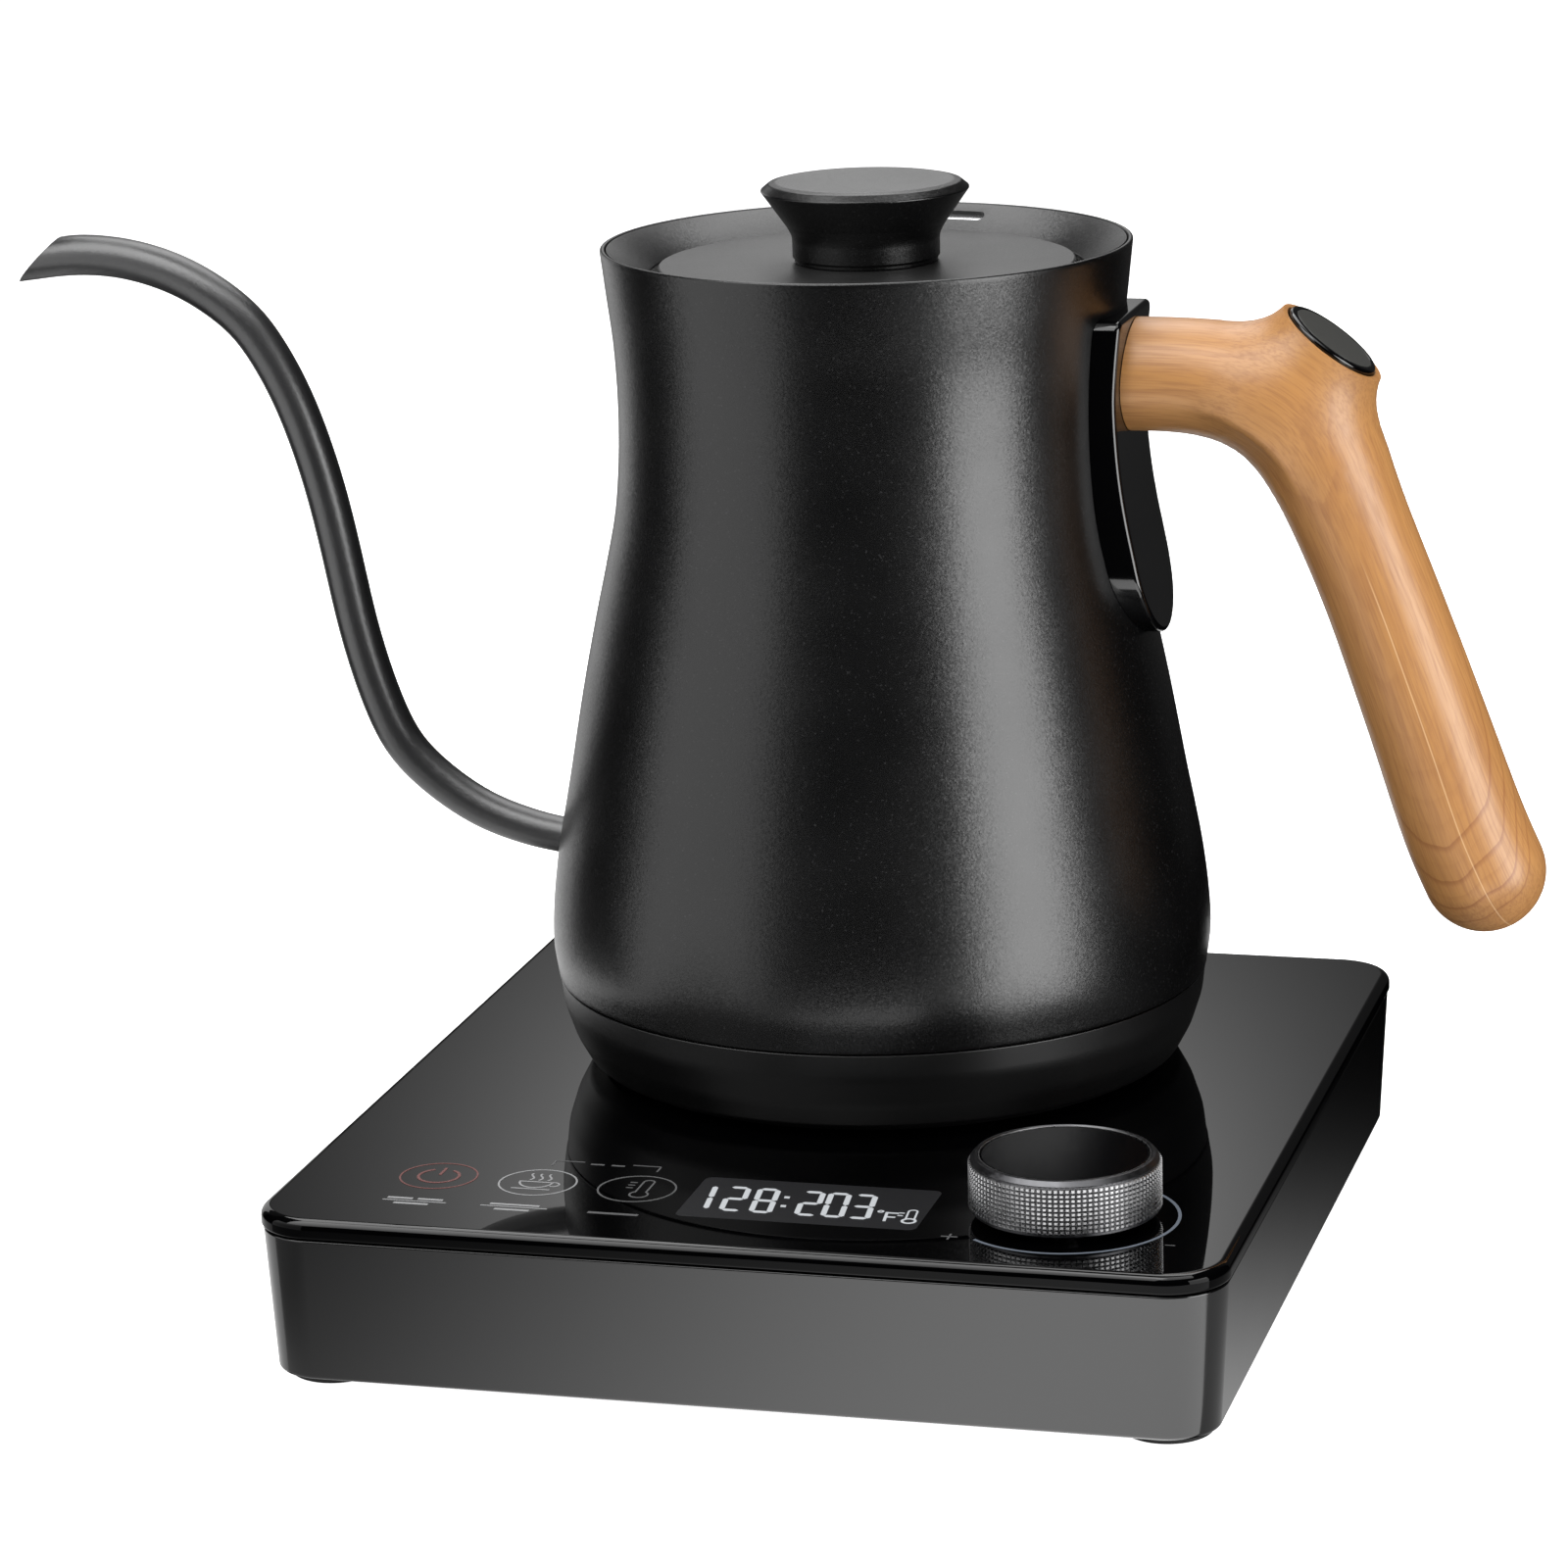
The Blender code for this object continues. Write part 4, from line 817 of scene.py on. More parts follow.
def nearest_on_path(points, path):
    """Index of the closest path sample for each point, in chunks so that memory stays small."""
    chunk = 4000
    found = np.empty(len(points), int)
    for start in range(0, len(points), chunk):
        gap = points[start:start + chunk, None, :] - path[None, :, :]
        found[start:start + chunk] = np.argmin((gap ** 2).sum(2), axis=1)
    return found


class GripShape:
    """The carved handle as a distance field: a tapering tube along its path, blended into a stub under the
    cap."""

    blend = 0.0075

    def __init__(self):
        steps = 12
        rounds = 40
        places = eased(smooth_curve([(x, r, z) for x, z, r in GRIP_PATH], steps), rounds)
        self.path = np.array([(p.x, p.z) for p in places])
        self.radius = np.array([p.y for p in places])
        tangent = np.gradient(self.path, axis=0)
        self.tangent = tangent / np.linalg.norm(tangent, axis=1)[:, None]
        self.length = np.concatenate([[0], np.cumsum(np.linalg.norm(np.diff(self.path, axis=0), axis=1))])

    def local(self, points, index):
        """Offsets of points from their path samples: along, across in the handle's plane, and sideways."""
        offset = points[:, [0, 2]] - self.path[index]
        tangent = self.tangent[index]
        along = (offset * tangent).sum(1)
        across = offset[:, 0] * tangent[:, 1] - offset[:, 1] * tangent[:, 0]
        return along, across, points[:, 1]

    def distance(self, points, index):
        along, across, side = self.local(points, index)
        radius = self.radius[index]
        half_depth = np.minimum(radius, GRIP_HALF_DEPTH)
        past_end = np.where(index == len(self.path) - 1, np.maximum(along, 0), 0)
        share = np.sqrt((across / radius) ** 2 + (side / half_depth) ** 2 + (past_end / radius) ** 2)
        tube = (share - 1) * half_depth
        offset = points - np.array(CAP_CENTRE)
        height = offset @ np.array(CAP_NORMAL)
        reach = np.linalg.norm(offset - height[:, None] * np.array(CAP_NORMAL), axis=1)
        stub = np.maximum(reach - STUB_RADIUS - 0.02 * np.maximum(height, -0.004), -(height + 0.019))
        overlap = np.maximum(self.blend - np.abs(tube - stub), 0) / self.blend
        return np.minimum(tube, stub) - overlap ** 2 * self.blend / 4

    def settle(self, points):
        """Move points onto the blended surface."""
        index = nearest_on_path(points[:, [0, 2]], self.path)
        step = 0.00005
        for _ in range(5):
            here = self.distance(points, index)
            rises = [self.distance(points + step * axis, index) - here for axis in np.eye(3)]
            slope = np.stack(rises, axis=1) / step
            size = np.maximum((slope ** 2).sum(1), 0.2)
            points = points - slope * (here / size)[:, None]
        return points


def rough_grip(shape):
    """An even quad mesh near the handle's surface, from a swollen tube and stub remeshed together."""
    bm = bmesh.new()
    sides = 24
    turns = [2 * math.pi * k / sides for k in range(sides)]

    def ring(x, z, tangent, radius, half_depth):
        return [bm.verts.new((x + radius * math.cos(turn) * tangent[1], half_depth * math.sin(turn),
                              z - radius * math.cos(turn) * tangent[0])) for turn in turns]

    rings = [ring(*shape.path[i], shape.tangent[i], shape.radius[i], min(shape.radius[i], GRIP_HALF_DEPTH))
             for i in range(0, len(shape.path), 4)]
    tip, heading, end_radius = shape.path[-1], shape.tangent[-1], shape.radius[-1]
    for rise in map(math.radians, (20, 40, 60, 78)):
        reach = end_radius * math.sin(rise)
        size = end_radius * math.cos(rise)
        rings.append(ring(tip[0] + heading[0] * reach, tip[1] + heading[1] * reach, heading, size, size))
    skin(bm, rings)
    stub = rod_mesh(STUB_RADIUS + 0.0010, CAP_CENTRE - CAP_NORMAL * 0.018, CAP_CENTRE + CAP_NORMAL * 0.003)
    for part in (bm, stub):
        bmesh.ops.recalc_face_normals(part, faces=part.faces)
    mesh = mesh_of("rough_grip", stub)
    bm.from_mesh(mesh)
    bm.to_mesh(mesh)
    bm.free()
    obj = linked("rough_grip", mesh)
    remesh = obj.modifiers.new("even", "REMESH")
    remesh.mode = "VOXEL"
    remesh.voxel_size = 0.0007
    result = evaluated_mesh(obj)
    bpy.data.objects.remove(obj)
    return result


def grip():
    shape = GripShape()
    rough = rough_grip(shape)
    bm = bmesh.new()
    bm.from_mesh(rough)
    bpy.data.meshes.remove(rough)
    for rounds in (6, 3):
        for _ in range(rounds):
            bmesh.ops.smooth_vert(bm, verts=bm.verts, factor=0.5, use_axis_x=True, use_axis_y=True,
                                  use_axis_z=True)
        points = shape.settle(np.array([v.co for v in bm.verts]))
        for vert, place in zip(bm.verts, points):
            vert.co = place
    obj = piece("wooden_grip", bm, "handle_wood", "kettle", ["handle_grip"], sharp=50)
    pocket = turned_mesh([(0, 0.012), (0.020, 0.012), (0.020, 0.0), (CAP_RADIUS + 0.0004, 0.0),
                          (CAP_RADIUS + TOUCH, -0.0003), (CAP_RADIUS + TOUCH, -0.0018), (0.0033, -0.0018),
                          (0.0033, -0.0080), (0, -0.0080)], CAP_SIDES)
    pointed(pocket, CAP_CENTRE, CAP_NORMAL)
    face = bmesh.new()
    heights = np.linspace(0.118, 0.154, 25)
    sections = []
    for y in (-0.02, 0.02):
        outline = [(bracket_front(min(z, BRACKET_HIGH_Z)) + TOUCH, y, z) for z in heights]
        outline += [(0.040, y, heights[-1]), (0.040, y, heights[0])]
        sections.append([face.verts.new(p) for p in outline])
    skin(face, sections)
    carve(obj, [pocket, face, rod_mesh(BOLT_HOLE, (0.040, 0, ARM_Z), (0.0765, 0, ARM_Z))])
    points = np.array([v.co for v in obj.data.vertices])
    index = nearest_on_path(points[:, [0, 2]], shape.path)
    along, across, side = shape.local(points, index)
    grain = np.stack([across, side, shape.length[index] + along], axis=1).astype(np.float32)
    attribute = obj.data.attributes.new("grain", "FLOAT_VECTOR", "POINT")
    attribute.data.foreach_set("vector", grain.ravel())
    obj.data.shade_smooth()
    obj.data.set_sharp_from_angle(angle=math.radians(45))


def cap():
    """The gloss disc in the top of the elbow, with a flat dark face set into its round edge."""
    rim = [(0, 0.00075, 0), (0.0084, 0.00075, 0.0001), (0.0086, 0.0009, 0.0001), (CAP_RADIUS, 0.0009, 0.0006),
           (CAP_RADIUS, -0.0015, 0.0002), (0.0030, -0.0015, 0.0002),
           (0.0030, -0.0075, 0.0004), (0, -0.0075, 0)]
    for name, corners, finish, replaced in (
            ("cap_body", rim, "gloss_trim", ["handle_cap"]),
            ("cap_disc", [(0, 0.00092, 0), (0.0084, 0.00092, 0.00006), (0.0084, 0.00078, 0), (0, 0.00078, 0)],
             "cap_face", [])):
        bm = pointed(turned_mesh(filleted(corners), CAP_SIDES), CAP_CENTRE, CAP_NORMAL)
        even_shading(piece(name, bm, finish, "kettle", replaced))


# ---- lid ---------------------------------------------------------------------------------------------------
def lid():
    plate_low = LID_TOP_Z - 0.0013
    plate = [(0.0019, LID_TOP_Z, 0), (LID_RADIUS, LID_TOP_Z, 0.0004), (LID_RADIUS, plate_low, 0.0003),
             (0.0019, plate_low, 0)]
    # The lid disc's finish is the coat painted lighter, as painted light.
    turned("lid_disc", plate, "lid_coat_painted_light", "lid", ["lid_plate"])
    low = LID_TOP_Z + TOUCH
    high = KNOB_TOP_Z
    knob = [(0.0018, low, 0), (0.0137, low, 0.0002), (0.0137, 0.1580, 0.0002), (0.0141, 0.1583, 0.0003),
            (0.0141, 0.1624, 0.0040), (0.0153, 0.1645, 0.0060), (0.0200, 0.1711, 0.00035),
            (0.0184, high - 0.0003, 0.0010), (0.0170, high, 0.0030), (0, high, 0), (0, 0.1668, 0),
            (0.0018, 0.1664, 0)]
    turned("lid_grip", knob, "coated_steel", "lid", ["lid_knob"], steps=7)


# ---- base --------------------------------------------------------------------------------------------------
def dial_offset():
    return DIAL.x - KETTLE.x, DIAL.y - KETTLE.y


def glass_panel():
    low = -GLASS_THICKNESS
    layers = edge_arc(0.0, low, 0.0006, True) + edge_arc(0.0, 0.0, 0.0019, False, 12)
    bm = moved(stacked_mesh(layers, (BASE_WIDTH, BASE_DEPTH), BASE_CORNER, 16), 0, BASE_MIDDLE_Y)
    obj = piece("glass_panel", bm, "panel_glass", "base", ["base_glass"], sharp=50)
    carve(obj, [plug(CONNECTOR_HOLE, low - CUT_PAST, CUT_PAST, 96),
                moved(plug(SHAFT_HOLE, low - CUT_PAST, CUT_PAST, 32), *dial_offset())])
    even_shading(obj)


def housing():
    wall = 0.0024
    draft = 0.0019
    top_inset = 0.0004
    deck_low = HOUSING_TOP - 0.0020
    size = (BASE_WIDTH, BASE_DEPTH)
    layers = edge_arc(draft, HOUSING_LOW, 0.0009, True) + edge_arc(top_inset, HOUSING_TOP, 0.0004, False)
    bm = moved(stacked_mesh(layers, size, BASE_CORNER, 16), 0, BASE_MIDDLE_Y)
    obj = piece("housing_shell", bm, "housing_plastic", "base", ["base_housing"], sharp=50)
    hollow = ((draft + wall, HOUSING_LOW - 0.004), (draft + wall, HOUSING_LOW), (top_inset + wall, deck_low))
    window = stacked_mesh(((0, -0.004), (0, 0.004)), DISPLAY_HOLE, 0.0008, 2)
    display_place = middle("display_module") - KETTLE
    gland = middle("cord_gland") - KETTLE
    half_gland = Vector((0, 0.006, 0))
    carve(obj, [moved(stacked_mesh(hollow, size, BASE_CORNER, 8), 0, BASE_MIDDLE_Y),
                plug(CONNECTOR_HOLE, deck_low - CUT_PAST, 0.0, 64),
                moved(plug(LIGHT_RING_HOLE, deck_low - CUT_PAST, 0.0, 64), *dial_offset()),
                moved(window, display_place.x, display_place.y, HOUSING_TOP),
                rod_mesh(GLAND_HOLE, gland - half_gland, gland + half_gland)])
    even_shading(obj)


def gland_and_feet():
    corners = [(0.0033, -0.0045, 0.0003), (0.0060, -0.0045, 0.0003), (0.0060, -0.0021, 0.0003),
               (0.0045, -0.0021, 0.0002), (0.0045, 0.0017, 0.0002), (0.0056, 0.0017, 0.0002),
               (0.0056, 0.0023, 0.0003), (0.0033, 0.0023, 0.0003)]
    bm = turned_mesh(filleted(corners), 64)
    bmesh.ops.rotate(bm, matrix=Matrix.Rotation(-math.pi / 2, 3, "X"), verts=bm.verts)
    gland = middle("cord_gland") - KETTLE
    middle_of_outline = (0.0023 - 0.0045) / 2
    moved(bm, gland.x, gland.y - middle_of_outline, gland.z)
    piece("lead_gland", bm, "foot_rubber", "base", ["cord_gland"])
    for i in range(1, 5):
        low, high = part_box(f"base_foot_{i}")
        centre = (low + high) / 2
        radius = (high.x - low.x) / 2
        height = high.z - low.z
        corners = [(0, height, 0), (radius, height, 0.0002), (radius, 0, 0.0007), (0, 0, 0)]
        turned(f"rubber_foot_{i}", corners, "foot_rubber", "base", [f"base_foot_{i}"],
               Vector((centre.x, centre.y, low.z)), 64)


# ---- dial --------------------------------------------------------------------------------------------------
def knurled_ring():
    """A turned ring whose side is covered in rows of small square studs with sloping sides."""
    columns = 106
    rows = 10
    low = DIAL_FOOT_Z + 0.0009
    high = DIAL_TOP_Z - 0.0013
    base = DIAL_RADIUS - 0.00050
    stud = 0.52                  # share of each square that its flat top takes up
    bm = bmesh.new()

    def ring(radius, z, shift=0.0):
        turns = [2 * math.pi * (i + shift) / columns for i in range(columns)]
        return [bm.verts.new((radius * math.cos(turn), radius * math.sin(turn), z)) for turn in turns]

    lines = [ring(base, low + (high - low) * row / rows) for row in range(rows + 1)]
    near = (1 - stud) / 2
    far = (1 + stud) / 2
    for row in range(rows):
        lower = low + (high - low) * (row + near) / rows
        upper = low + (high - low) * (row + far) / rows
        places = ((lower, near), (lower, far), (upper, far), (upper, near))
        tops = [ring(DIAL_RADIUS, z, shift) for z, shift in places]
        for i in range(columns):
            j = (i + 1) % columns
            around = (lines[row][i], lines[row][j], lines[row + 1][j], lines[row + 1][i])
            top = [corner[i] for corner in tops]
            bm.faces.new(top)
            bridge(bm, around, top)
    above = [(base, high), (DIAL_RADIUS - 0.0005, high + 0.0002), (DIAL_RADIUS - 0.0004, high + 0.0004),
             (DIAL_RADIUS - 0.0011, DIAL_TOP_Z - 0.0001), (DIAL_RADIUS - 0.0014, DIAL_TOP_Z),
             (0.0157, DIAL_TOP_Z), (0.0155, DIAL_TOP_Z - 0.0002), (0.0155, DIAL_FOOT_Z),
             (DIAL_RADIUS - 0.0010, DIAL_FOOT_Z), (DIAL_RADIUS - 0.0004, DIAL_FOOT_Z + 0.0004),
             (DIAL_RADIUS - 0.0004, low - 0.0001)]
    last = lines[-1]
    smooth_faces = []
    for radius, z in above[1:]:
        fresh = ring(radius, z)
        smooth_faces += bridge(bm, last, fresh)
        last = fresh
    smooth_faces += bridge(bm, last, lines[0])
    for face in smooth_faces:
        face.smooth = True
        face.material_index = 1
    obj = piece("knurled_ring", bm, "dial_metal", "dial", ["dial_ring"], DIAL, flat=True)
    obj.data.materials.append(FINISHES["dial_rim"])
    obj.data.set_sharp_from_angle(angle=math.radians(30))


def dial_face():
    top = DIAL_TOP_Z - 0.0002
    corners = [(0, top, 0), (0.0152, top, 0.0003), (0.0152, top - 0.0009, 0.0001), (0, top - 0.0009, 0)]
    turned("dial_face", corners, "dial_gloss", "dial", ["dial_cap"], DIAL, DIAL_SIDES)
    bezel = [(0.01535, top - 0.0006, 0), (0.01550, top - 0.0006, 0), (0.01550, top + 0.00012, 0.00005),
             (0.01530, top + 0.00005, 0.00005)]
    turned("dial_bezel", bezel, "dial_metal", "dial", (), DIAL, DIAL_SIDES)


# ---- printed marks and the display -------------------------------------------------------------------------
INK_LOW = 0.00002
INK_HIGH = 0.00006
LINE = 0.34                  # usual width of a line, in millimetres


class Marks:
    """Thin raised shapes on the glass, gathered into one piece. Places and widths are in millimetres, and
    places are measured from the kettle's axis."""

    def __init__(self):
        self.bm = bmesh.new()

    def plate(self, points):
        """A flat shape with the given corners, a hair thick."""
        levels = (INK_LOW, INK_HIGH)
        skin(self.bm, [[self.bm.verts.new((x / 1000, y / 1000, z)) for x, y in points] for z in levels])

    def stroke(self, points, width=LINE):
        """A line of constant width along the points, one piece for each run."""
        path = [Vector(p) for p in points]
        left, right = [], []
        for i, here in enumerate(path):
            ahead = (path[min(i + 1, len(path) - 1)] - path[max(i - 1, 0)]).normalized()
            side = Vector((-ahead.y, ahead.x)) * width / 2
            left.append(here + side)
            right.append(here - side)
        self.plate([tuple(p) for p in left + right[::-1]])

    def lines(self, origin, runs):
        """Straight lines, each (x, y, x, y, width) from an origin."""
        x, y = origin
        for x0, y0, x1, y1, width in runs:
            self.stroke([(x + x0, y + y0), (x + x1, y + y1)], width)

    def arc(self, centre, radius, start=0, stop=360, width=LINE):
        """An arc or a full ring, drawn in two halves."""
        x, y = centre
        half_way = (start + stop) / 2
        for first, last in ((start, half_way), (half_way, stop)):
            steps = max(int(abs(last - first) / 5), 2)
            angles = [math.radians(first + (last - first) * i / steps) for i in range(steps + 1)]
            self.stroke([(x + radius * math.cos(a), y + radius * math.sin(a)) for a in angles], width)

    def done(self, name, finish):
        return piece(name, self.bm, finish, "base", (), KETTLE, flat=True)


ICON_RADIUS = 7.2
POWER = (-62.1, -92.0)
HEAT = (-42.8, -92.3)
HOLD = (-23.7, -92.4)
PLUS = (38.7, -107.4)


def touch_marks():
    """The three touch fields' pictograms; plain bars stand for the words."""
    red = Marks()
    red.arc(POWER, ICON_RADIUS)
    red.arc(POWER, 3.8, 118, 422, 0.55)
    red.lines(POWER, [(0, 0.6, 0, 4.6, 0.55)])
    red.done("power_mark", "ink_red")

    pale = Marks()
    x, y = HEAT
    pale.arc(HEAT, ICON_RADIUS)
    pale.arc((x - 0.3, y + 0.2), 3.1, 180, 360, 0.40)                     # cup
    pale.lines(HEAT, [(-3.6, 0.3, 3.0, 0.3, 0.40)])
    pale.arc((x + 3.2, y - 0.7), 1.1, -110, 100, 0.35)
    pale.lines(HEAT, [(-4.0, -3.7, 3.4, -3.7, 0.40)])
    for shift in (-1.9, -0.2, 1.5):                                       # steam
        wisp = [(x + shift + 0.45 * math.sin(t * 5.5), y + 1.2 + 3.6 * t) for t in np.linspace(0, 1, 12)]
        pale.stroke(wisp, 0.36)
    pale.lines(HEAT, [(-6.5, -14.1, 6.2, -14.1, LINE)])
    pale.lines((POWER[0], y), [(-6.0, -14.2, 6.2, -14.2, LINE), (-5.4, -12.9, -0.6, -12.9, 0.80),
                               (0.4, -12.9, 5.2, -12.9, 0.80)])
    pale.lines(HEAT, [(-5.0, -12.9, 4.4, -12.9, 0.80)])
    for centre in (POWER[0], x):
        pale.lines((centre, y), [(-3.4, -15.6, 3.2, -15.6, 0.80)])
    pale.done("heat_mark", "ink_pale")

    dim = Marks()
    x, y = HOLD
    dim.arc(HOLD, ICON_RADIUS)
    dim.arc((x + 1.2, y - 3.0), 1.7, 125, 415, 0.36)                      # thermometer
    dim.lines(HOLD, [(0.2, -1.6, 0.2, 4.0, LINE), (2.2, -1.6, 2.2, 4.0, LINE)])
    dim.arc((x + 1.2, y + 4.0), 1.0, 0, 180, LINE)
    dim.lines(HOLD, [(-2.2, rise, -0.9, rise, LINE) for rise in (0.4, 1.9, 3.4)])
    dim.lines(HOLD, [(-5.1, -14.2, 4.4, -14.2, 0.85)])
    dim.lines((0, 0), [                                                   # link between two fields
        (-43.2, -82.3, -43.2, -79.6, 0.30), (-43.2, -79.5, -37.6, -79.5, 0.30),
        (-28.2, -79.6, -22.8, -79.6, 0.30), (-22.8, -79.7, -22.8, -82.4, 0.30),
        (-36.2, -80.4, -33.6, -80.4, 0.55), (-32.2, -80.4, -29.6, -80.4, 0.55)])
    dim.lines(PLUS, [(-1.5, 0, 1.5, 0, LINE), (0, -1.5, 0, 1.5, LINE)])
    dim.lines((0, 0), [(77.2, -104.7, 79.0, -104.7, 0.22)])
    dim.done("hold_mark", "ink_dim")


def ring_mark():
    marks = Marks()
    x, y = dial_offset()
    marks.arc((x * 1000, y * 1000), 20.5, -130, 60, 0.60)
    marks.done("ring_mark", "ring_light")


SEGMENTS = {"0": "abcdef", "1": "bc", "2": "abged", "3": "abgcd", "8": "abcdefg"}
DIGIT_LEFTS = ((-12.9, "1"), (-6.6, "2"), (-1.0, "8"), (7.5, "2"), (12.4, "0"), (17.3, "3"))
DIGIT_WIDTH = 4.4
DIGIT_HEIGHT = 13.4
DIGIT_MIDDLE = -94.5
DIGIT_LEAN = -0.12
SEGMENT_WIDTH = 1.05
SEGMENT_GAP = 0.14
DOT = ((-0.5, -0.5), (0.5, -0.5), (0.5, 0.5), (-0.5, 0.5))


def leaning(x, y):
    return x + (y - DIGIT_MIDDLE) * DIGIT_LEAN, y


def segment(marks, start, end):
    """A bar with pointed ends between two places."""
    start = Vector(start)
    end = Vector(end)
    run = (end - start).normalized()
    side = Vector((-run.y, run.x)) * SEGMENT_WIDTH / 2
    start += run * SEGMENT_GAP
    end -= run * SEGMENT_GAP
    inner_start = start + run * SEGMENT_WIDTH / 2
    inner_end = end - run * SEGMENT_WIDTH / 2
    corners = [start, inner_start + side, inner_end + side, end, inner_end - side, inner_start - side]
    marks.plate([leaning(*p) for p in corners])


def display():
    low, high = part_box("display_module")
    centre = (low + high) / 2 - KETTLE
    size = (high.x - low.x - 0.0006, high.y - low.y - 0.0030)
    window = stacked_mesh(((0, 0.00001), (0, INK_LOW - 0.000004)), size, 0.0016, 8)
    moved(window, centre.x, centre.y)
    piece("display_window", window, "window_glow", "base", (), KETTLE, flat=True)
    marks = Marks()
    half = (DIGIT_HEIGHT - SEGMENT_WIDTH) / 2
    for left, digit in DIGIT_LEFTS:
        x0 = left + SEGMENT_WIDTH / 2
        x1 = left + DIGIT_WIDTH - SEGMENT_WIDTH / 2
        top, mid, bottom = DIGIT_MIDDLE + half, DIGIT_MIDDLE, DIGIT_MIDDLE - half
        ends = {"a": ((x0, top), (x1, top)), "b": ((x1, mid), (x1, top)), "c": ((x1, bottom), (x1, mid)),
                "d": ((x0, bottom), (x1, bottom)), "e": ((x0, bottom), (x0, mid)),
                "f": ((x0, mid), (x0, top)), "g": ((x0, mid), (x1, mid))}
        for name in SEGMENTS[digit]:
            segment(marks, *ends[name])
    for y in (-92.0, -96.8):
        marks.plate([leaning(5.0 + dx, y + dy) for dx, dy in DOT])
    marks.arc(leaning(23.2, -96.4), 0.45, 0, 360, 0.35)                   # unit of temperature
    for start, end in (((24.4, -101.4), (24.4, -96.6)), ((24.4, -96.9), (26.6, -96.9)),
                       ((24.4, -99.1), (26.2, -99.1))):
        marks.stroke([leaning(*start), leaning(*end)], 0.55)
    marks.arc((29.6, -100.6), 1.2, 0, 360, 0.5)                           # thermometer
    marks.lines((0, 0), [(28.8, -99.7, 28.4, -95.6, 0.35), (30.4, -99.7, 30.0, -95.6, 0.35)])
    marks.arc((29.2, -95.5), 0.8, 0, 180, 0.35)
    marks.lines((0, 0), [(26.9, y, 27.9, y, 0.35) for y in (-96.6, -98.0)])
    marks.done("display_digits", "digit_light")


# ---- studio ------------------------------------------------------------------------------------------------
CAMERA_PLACE = Vector((0.27821, -0.97195, 0.3530))
CAMERA_TURN = math.radians(15.504)       # heading, to the right of straight ahead
CAMERA_PITCH = math.radians(14.512)      # looking down
CAMERA_ROLL = math.radians(-1.597)
CAMERA_LENS = 124.39                     # on a 36 mm sensor
AIM = KETTLE + Vector((0, 0, 0.08))
BACKDROP_SHIFT = 0.02        # its bright middle, to the right of the kettle
BACKDROP_SPREAD = 0.17
BACKDROP_RISE = 0.17         # how softly the backdrop's glow begins above the horizon
BACKDROP_FOOT = -0.12        # height on the card from which the glow is full
BACKDROP_PEAK = 1.45
BACKDROP_EDGE = 0.04
FLOOR_BOUNCE = 0.6
SIDE_CARD = 1.2
FRONT_CARD = (-0.125, 0.055, 0.3, 3.5)   # its glow rises from left to right
RIGHT_CARD = (-0.12, 0.105, 0.70)        # its glow fades towards the back: middle, spread, peak
WORLD_RISE = (0.25, 1.0, 0.01, 0.45)     # from near the horizon to overhead
SOFTBOXES = (                # name, azimuth, elevation, distance, width, height, watts
    ("key_right", 50, 3, 1.3, 0.80, 1.00, 20),
    ("broad_left", -67, -4, 0.70, 0.70, 0.80, 2.6),
    ("rim_left", -150, 0, 1.2, 0.55, 1.0, 1.5),
    ("overhead", 180, 62, 1.4, 1.2, 1.0, 13),
    ("top_front", 20, 65, 1.4, 1.2, 0.8, 8),
    ("top_left", -50, 52, 1.1, 0.9, 0.9, 12),
)


def camera():
    level = math.cos(CAMERA_PITCH)
    forward = Vector((-math.sin(CAMERA_TURN) * level, math.cos(CAMERA_TURN) * level, -math.sin(CAMERA_PITCH)))
    right = Vector((math.cos(CAMERA_TURN), math.sin(CAMERA_TURN), 0))
    up = right.cross(forward)
    tilted_right = right * math.cos(CAMERA_ROLL) + up * math.sin(CAMERA_ROLL)
    tilted_up = up * math.cos(CAMERA_ROLL) - right * math.sin(CAMERA_ROLL)
    data = bpy.data.cameras.new("camera")
    data.lens = CAMERA_LENS
    data.sensor_width = 36.0
    data.clip_start = 0.05
    data.clip_end = 50
    obj = linked("camera", data)
    turn = Matrix((tilted_right, tilted_up, -forward)).transposed()
    obj.matrix_world = Matrix.Translation(CAMERA_PLACE) @ turn.to_4x4()
    bpy.context.scene.camera = obj


def softbox(name, azimuth, elevation, distance, width, height, power):
    """An area light aimed at the kettle. Azimuth starts at the camera's side and grows to the right."""
    turn = CAMERA_TURN + math.radians(azimuth)
    rise = math.radians(elevation)
    away = Vector((math.sin(turn) * math.cos(rise), -math.cos(turn) * math.cos(rise), math.sin(rise)))
    data = bpy.data.lights.new(name, "AREA")
    data.shape = "RECTANGLE"
    data.size = width
    data.size_y = height
    data.energy = power
    obj = linked(name, data)
    obj.location = AIM + away * distance
    obj.rotation_mode = "QUATERNION"
    obj.rotation_quaternion = away.to_track_quat("Z", "Y")


def plain_sheet(name, width, height):
    bm = bmesh.new()
    corners = ((-1, -1), (1, -1), (1, 1), (-1, 1))
    bm.faces.new([bm.verts.new((x * width / 2, y * height / 2, 0)) for x, y in corners])
    obj = linked(name, mesh_of(name, bm))
    return obj


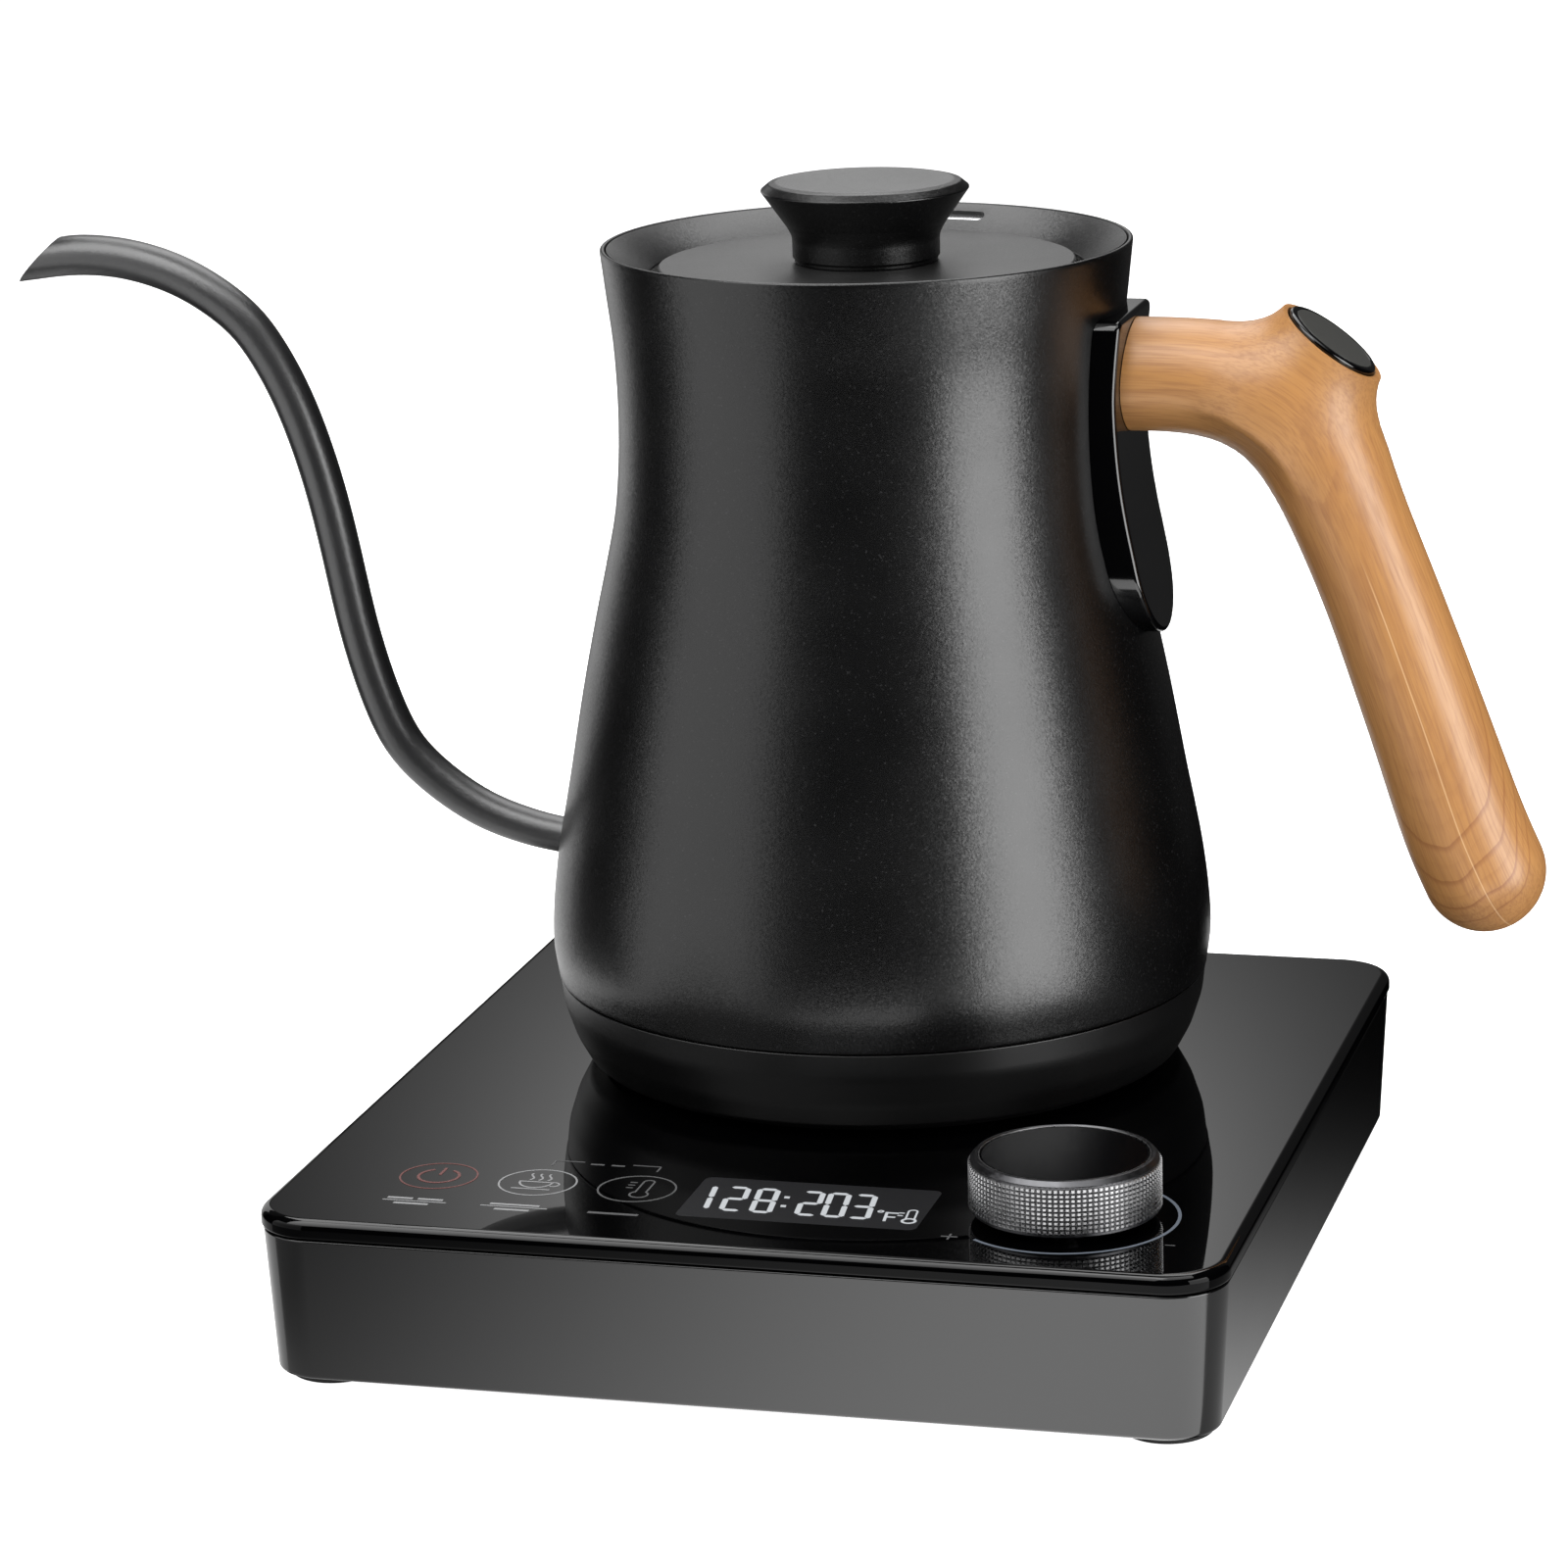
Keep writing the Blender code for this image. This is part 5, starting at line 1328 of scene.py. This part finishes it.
class Glow(NodeTree):
    """An emission-only material whose strength can follow a place on the piece."""

    def __init__(self, name):
        super().__init__(name)
        self.nodes.clear()
        self.emission = self.node("ShaderNodeEmission")
        out = self.node("ShaderNodeOutputMaterial")
        self.links.new(self.emission.outputs[0], out.inputs[0])

    def axis(self, index):
        return self.split(self.place())[index]

    def bell(self, value, width):
        """1 at the middle, falling softly: about a third is left at the given width."""
        square = self.math("POWER", self.math("DIVIDE", value, width), 2.0)
        return self.math("EXPONENT", self.times(square, -1.0))

    def strength(self, value):
        self.join(value, self.emission.inputs["Strength"])


def floor():
    """A white sheet that only the camera sees, and a dimmer one just below that lights the undersides."""
    obj = plain_sheet("floor", 30, 30)
    made = Finish("floor", (0.80, 0.80, 0.80), 0.9)
    clouds = made.noise(0.4)
    made.put("Base Color", made.mix(clouds, (0.79, 0.79, 0.79), (0.81, 0.81, 0.81)))
    made.put("Emission Color", (1.0, 1.0, 1.0, 1.0))
    made.put("Emission Strength", 1.0)
    obj.data.materials.append(made.material)
    obj.visible_diffuse = False
    obj.visible_glossy = False
    bounce = plain_sheet("floor_bounce", 4, 4)
    bounce.location.z = -0.001
    made = Glow("floor_bounce")
    made.strength(FLOOR_BOUNCE)
    bounce.data.materials.append(made.material)
    bounce.visible_camera = False
    bounce.visible_glossy = False
    for sheet in (obj, bounce):
        sheet.visible_shadow = False


def unseen(obj):
    """Keep a studio card out of the picture and out of the diffuse light; it only shows in reflections."""
    obj.visible_camera = False
    obj.visible_diffuse = False
    obj.visible_shadow = False


def sky_dome():
    """The white background, seen by the camera alone."""
    bm = bmesh.new()
    bmesh.ops.create_icosphere(bm, subdivisions=4, radius=14.0)
    obj = linked("sky_dome", mesh_of("sky_dome", bm))
    made = Glow("sky_dome")
    made.strength(1.0)
    obj.data.materials.append(made.material)
    obj.visible_diffuse = False
    obj.visible_glossy = False
    obj.visible_transmission = False
    obj.visible_shadow = False


def backdrop():
    """A card behind the kettle with a soft bright middle, which the glass and the coat mirror."""
    obj = plain_sheet("backdrop", 3.0, 1.6)
    away = Vector((-math.sin(CAMERA_TURN), math.cos(CAMERA_TURN), 0))
    obj.location = KETTLE + away * 1.2 + Vector((0, 0, 0.62))
    obj.rotation_mode = "QUATERNION"
    obj.rotation_quaternion = (-away).to_track_quat("Z", "Y")
    made = Glow("backdrop")
    bell = made.bell(made.minus(made.axis(0), BACKDROP_SHIFT), BACKDROP_SPREAD)
    rise = made.bell(made.math("MINIMUM", made.minus(made.axis(1), BACKDROP_FOOT), 0.0), BACKDROP_RISE)
    made.strength(made.math("MULTIPLY_ADD", made.times(bell, rise), BACKDROP_PEAK, BACKDROP_EDGE))
    obj.data.materials.append(made.material)
    unseen(obj)


def floor_card(name, offset, size, glow):
    """A low card just above the floor, placed from the middle of the base."""
    obj = plain_sheet(name, *size)
    obj.location = (KETTLE.x + offset[0], KETTLE.y + BASE_MIDDLE_Y + offset[1], 0.0004)
    obj.data.materials.append(glow.material)
    unseen(obj)


def floor_cards():
    """The upright faces of the housing mirror these; none overlaps another."""
    tuck = 0.004                 # how far the cards reach in under the housing
    reach = 0.15
    to_side = BASE_WIDTH / 2 - tuck
    to_end = BASE_DEPTH / 2 - tuck
    made = Glow("front_card")
    made.strength(made.band(made.axis(0), *FRONT_CARD))
    floor_card("front_card", (0, -to_end - reach / 2), (0.50, reach), made)
    made = Glow("right_card")
    middle_y, spread, peak = RIGHT_CARD
    length = 0.50
    centre = length / 2 - to_end
    near = made.bell(made.minus(made.axis(1), middle_y - centre), spread)
    made.strength(made.times(near, peak))
    floor_card("right_card", (to_side + reach / 2, centre), (reach, length), made)
    made = Glow("side_card")
    made.strength(SIDE_CARD)
    floor_card("left_card", (-to_side - reach / 2, centre), (reach, length), made)
    floor_card("back_card", (0, to_end + reach / 2), (2 * to_side, reach), made)


def surroundings():
    world = bpy.data.worlds.new("studio")
    world.use_nodes = True
    tree = world.node_tree
    shade = tree.nodes["Background"]
    place = tree.nodes.new("ShaderNodeTexCoord")
    split = tree.nodes.new("ShaderNodeSeparateXYZ")
    tree.links.new(place.outputs["Generated"], split.inputs[0])
    rise = tree.nodes.new("ShaderNodeMapRange")
    for key, number in zip(("From Min", "From Max", "To Min", "To Max"), WORLD_RISE):
        rise.inputs[key].default_value = number
    tree.links.new(split.outputs[2], rise.inputs["Value"])
    tree.links.new(rise.outputs[0], shade.inputs["Strength"])
    bpy.context.scene.world = world


def studio():
    camera()
    floor()
    sky_dome()
    backdrop()
    floor_cards()
    surroundings()
    for settings in SOFTBOXES:
        softbox(*settings)
    bpy.context.scene.view_settings.view_transform = "Standard"


# ---- everything --------------------------------------------------------------------------------------------
for finish_name, names in CARRIED.items():
    for node_name in names:
        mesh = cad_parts[node_name].data
        mesh.materials.clear()
        mesh.materials.append(FINISHES[finish_name])

studio()
steel_body()
collar()
gooseneck()
skirt()
bracket()
grip()
cap()
lid()
glass_panel()
housing()
gland_and_feet()
knurled_ring()
dial_face()
touch_marks()
ring_mark()
display()
